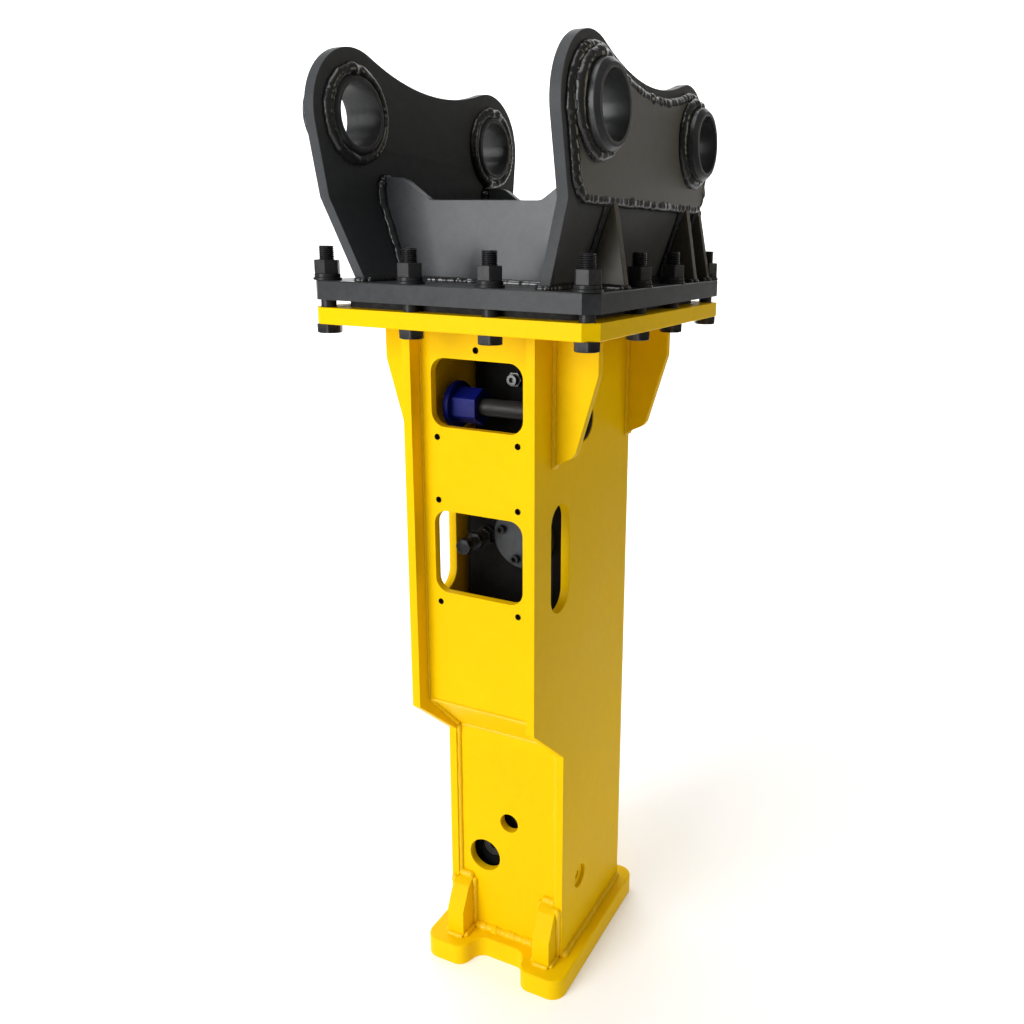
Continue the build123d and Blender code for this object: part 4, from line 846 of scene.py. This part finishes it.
# flow adjuster: threaded spindle with a hexagon end, riding on its own body
lo, hi = mm("flow_adjuster")
cx, cz = (lo.x + hi.x) / 2, (lo.z + hi.z) / 2
HEX_T = 13.0
bm = bmesh.new()
lathe(bm, [(9.0, -hi.y), (9.0, 98.0)], (cx, 0, cz), axis="y", sides=40)
thread(bm, (cx, 0, cz), 9.0, 1.3, 3.2, 97.8, -lo.y - HEX_T + 0.5, axis="y", sides=40, lead=0.4)
hexagon(bm, (cx, 0, cz), 15.0 * math.sqrt(3), -lo.y - HEX_T, -lo.y, True, True, axis="y")
face_front(bm, 0)
ob = finish_mesh(bm, "flow_adjuster.finish", OXIDE, "flow_adjuster", angle=32)
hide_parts("flow_adjuster")

# its sleeve: round foot, hexagon, threaded barrel and lock nut
lo, hi = mm("adjuster_sleeve")
y0 = -hi.y
bm = bmesh.new()
lathe(bm, [(17.2, y0), (18.0, y0 + 0.8), (18.0, y0 + 7.2), (17.2, y0 + 8.0)], (cx, 0, cz), axis="y", sides=56)
hexagon(bm, (cx, 0, cz), 18.0 * math.sqrt(3), y0 + 8, y0 + 20, False, True, turn=math.pi / 6, axis="y")
thread(bm, (cx, 0, cz), 13.5, 1.8, 4.0, y0 + 19.6, y0 + 40.4, axis="y", sides=48, lead=0.2)
hexagon(bm, (cx, 0, cz), 17.0 * math.sqrt(3), y0 + 40, y0 + 49, True, True, axis="y")
face_front(bm, 0)
ob = finish_mesh(bm, "adjuster_sleeve.finish", OXIDE, "housing", angle=32)
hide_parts("adjuster_sleeve")

# bare thread inside the tapped cover holes of the front plate
PLATE_Y1 = FRONT_YU + 12.0
bm = bmesh.new()
for x, z in COVER_HOLES:
    rows = []
    depth = 12.0
    for i in range(49):
        h = depth * i / 48
        row = []
        for k in range(28):
            a = 2 * math.pi * k / 28
            ph = (h / 1.5 - k / 28) % 1.0
            rr = 5.35 - 0.75 * (1 - abs(2 * ph - 1)) * min(1.0, h / 1.0, (depth - h) / 1.0)
            row.append(bm.verts.new((x + rr * math.cos(a), FRONT_YU + h, z + rr * math.sin(a))))
        rows.append(row)
    back = [[bm.verts.new((x + 5.48 * math.cos(2 * math.pi * k / 28), FRONT_YU + h, z + 5.48 * math.sin(2 * math.pi * k / 28)))
             for k in range(28)] for h in (0.0, depth)]
    rows = [back[0]] + rows + [back[1]]
    for a, b in zip(rows, rows[1:] + rows[:1]):
        for k in range(28):
            bm.faces.new((a[k], a[(k + 1) % 28], b[(k + 1) % 28], b[k]))
ob = finish_mesh(bm, "cover_hole_threads", PIPE, "housing", angle=60)

# rubber edging in the port hole of the right side plate, set back from its outer face
hole = min(rims("side_plate_right", "x", SIDE_X1), key=lambda p: abs(sum((q.z for q in p), 0.0) / len(p) - 1080.0))
py = (min(q.y for q in hole) + max(q.y for q in hole)) / 2
pz = (min(q.z for q in hole) + max(q.z for q in hole)) / 2
pr = (max(q.z for q in hole) - min(q.z for q in hole)) / 2
bm = bmesh.new()
prof = [(pr - 0.3, SIDE_X0 - 1.0), (pr - 0.3, SIDE_X1 - 2.0), (pr - 1.0, SIDE_X1 - 1.4), (pr - 2.2, SIDE_X1 - 1.6),
        (pr - 2.8, SIDE_X1 - 2.6), (pr - 2.8, SIDE_X0 - 0.2), (pr - 2.0, SIDE_X0 - 1.0)]
rows = [[bm.verts.new((h, py + r * math.cos(2 * math.pi * k / 96), pz + r * math.sin(2 * math.pi * k / 96)))
         for k in range(96)] for r, h in prof]
for a, b in zip(rows, rows[1:] + rows[:1]):
    for k in range(96):
        bm.faces.new((a[k], a[(k + 1) % 96], b[(k + 1) % 96], b[k]))
finish_mesh(bm, "port_hole_edging", RUBBER, "housing", angle=50)

for node, width, angle in (("flange_nuts", 1.0, 40.0), ("flat_washers", 0.5, 50.0), ("spring_washers", 0.7, 50.0),
                           ("valve_cover", 0.8, 45.0), ("valve_cover_screws", 0.6, 50.0), ("gas_charge_valve", 0.6, 45.0),
                           ("inlet_dust_cap", 0.8, 40.0), ("outlet_dust_plug", 0.8, 40.0), ("outlet_adapter", 0.6, 45.0),
                           ("port_block", 0.8, 40.0), ("back_head", 1.5, 40.0), ("cylinder", 1.5, 40.0),
                           ("front_head", 1.5, 40.0), ("retaining_pin_plug", 0.5, 50.0)):
    softened(node, width=width, angle=angle)

# ---------------------------------------------------------------------------
# floor, backdrop, light and camera
# ---------------------------------------------------------------------------
fm = Mat("floor_paper")
tone = fm.ramp(fm.noise(2.0, 6.0, 0.6), [(0.3, (0.88, 0.88, 0.885)), (0.7, (0.90, 0.90, 0.905))])
sep = fm.n("ShaderNodeSeparateXYZ")
fm.link(fm.co.outputs["Object"], sep.inputs[0])
# painted shade: the floor darkens from full tone at x = 0.96 m to 22 % at x = 1.6 m and beyond
shade = fm.ramp(fm.math("MULTIPLY", sep.outputs["X"], 0.25), [(0.24, 1.0), (0.40, 0.22)])
tone = fm.mix(1.0, tone, shade, "MULTIPLY")
fm.link(tone, fm.b.inputs["Base Color"])
# the floor also glows faintly through its emission
fm.link(tone, fm.b.inputs["Emission Color"])
fm.const(Roughness=0.9, Emission_Strength=0.25)
fm.b.inputs["Specular IOR Level"].default_value = 0.1
bm = bmesh.new()
prof = [(-7.0, 0.0), (3.0, 0.0)]
for i in range(1, 17):
    a = math.pi / 2 * i / 16
    prof.append((3.0 + 2.5 * math.sin(a), 2.5 - 2.5 * math.cos(a)))
prof.append((5.5, 9.0))
rows = [[bm.verts.new((x, y, z)) for x in (-12.0, 12.0)] for y, z in prof]
for a, b in zip(rows, rows[1:]):
    f = bm.faces.new((a[0], a[1], b[1], b[0]))
    f.smooth = True
me = bpy.data.meshes.new("floor")
bm.to_mesh(me)
bm.free()
me.materials.append(fm.m)
floor = bpy.data.objects.new("floor", me)
bpy.context.scene.collection.objects.link(floor)

world = bpy.data.worlds.new("studio")
bpy.context.scene.world = world
world.use_nodes = True
wb = world.node_tree.nodes["Background"]
wb.inputs["Color"].default_value = (1.0, 1.0, 1.0, 1.0)
wb.inputs["Strength"].default_value = 0.17


def area(name, loc, target, size, power, colour=(1, 1, 1)):
    lt = bpy.data.lights.new(name, "AREA")
    lt.shape = "RECTANGLE"
    lt.size, lt.size_y = size
    lt.energy = power
    lt.color = colour
    ob = bpy.data.objects.new(name, lt)
    ob.location = loc
    ob.rotation_euler = (Vector(target) - Vector(loc)).to_track_quat("-Z", "Y").to_euler()
    bpy.context.scene.collection.objects.link(ob)
    return ob


area("key", (-1.35, -3.8, 1.9), (0, 0, 0.6), (2.4, 2.8), 148.0)
area("top", (-0.6, -0.9, 4.2), (0, 0, 1.0), (2.2, 2.2), 46.0)
area("warm", (2.4, 0.8, 2.1), (0, 0, 1.1), (1.2, 1.6), 16.0, (1.0, 0.90, 0.68))
area("backdrop", (-4.4, 2.0, 5.2), (-4.4, 6.6, 2.4), (8.0, 2.6), 430.0)
area("ground", (-2.2, 2.2, 5.2), (-2.2, 2.4, 0.0), (3.4, 3.4), 24.0)

CAM_POS = Vector((0.77983, -1.43402 + MID_Y * MM, 1.38288))
YAW, PITCH, ROLL = (math.radians(v) for v in (23.7396, -13.6781, 1.2391))
F_PX, CX, CY = 915.4838, 608.5525, 460.0943
fwd = Vector((-math.sin(YAW) * math.cos(PITCH), math.cos(YAW) * math.cos(PITCH), math.sin(PITCH)))
right = Vector((math.cos(YAW), math.sin(YAW), 0.0))
up = right.cross(fwd)
r2 = right * math.cos(ROLL) + up * math.sin(ROLL)
u2 = up * math.cos(ROLL) - right * math.sin(ROLL)
cam_data = bpy.data.cameras.new("camera")
cam = bpy.data.objects.new("camera", cam_data)
bpy.context.scene.collection.objects.link(cam)
cam_data.sensor_fit = "HORIZONTAL"
cam_data.sensor_width = 36.0
cam_data.lens = F_PX / 1024.0 * 36.0
cam_data.shift_x = (512.0 - CX) / 1024.0
cam_data.shift_y = (CY - 512.0) / 1024.0
cam_data.clip_start = 0.05
cam_data.clip_end = 60.0
m = Matrix.Identity(4)
for i in range(3):
    m[i][0], m[i][1], m[i][2], m[i][3] = r2[i], u2[i], -fwd[i], CAM_POS[i]
cam.matrix_world = m
bpy.context.scene.camera = cam
bpy.context.scene.view_settings.view_transform = "Standard"
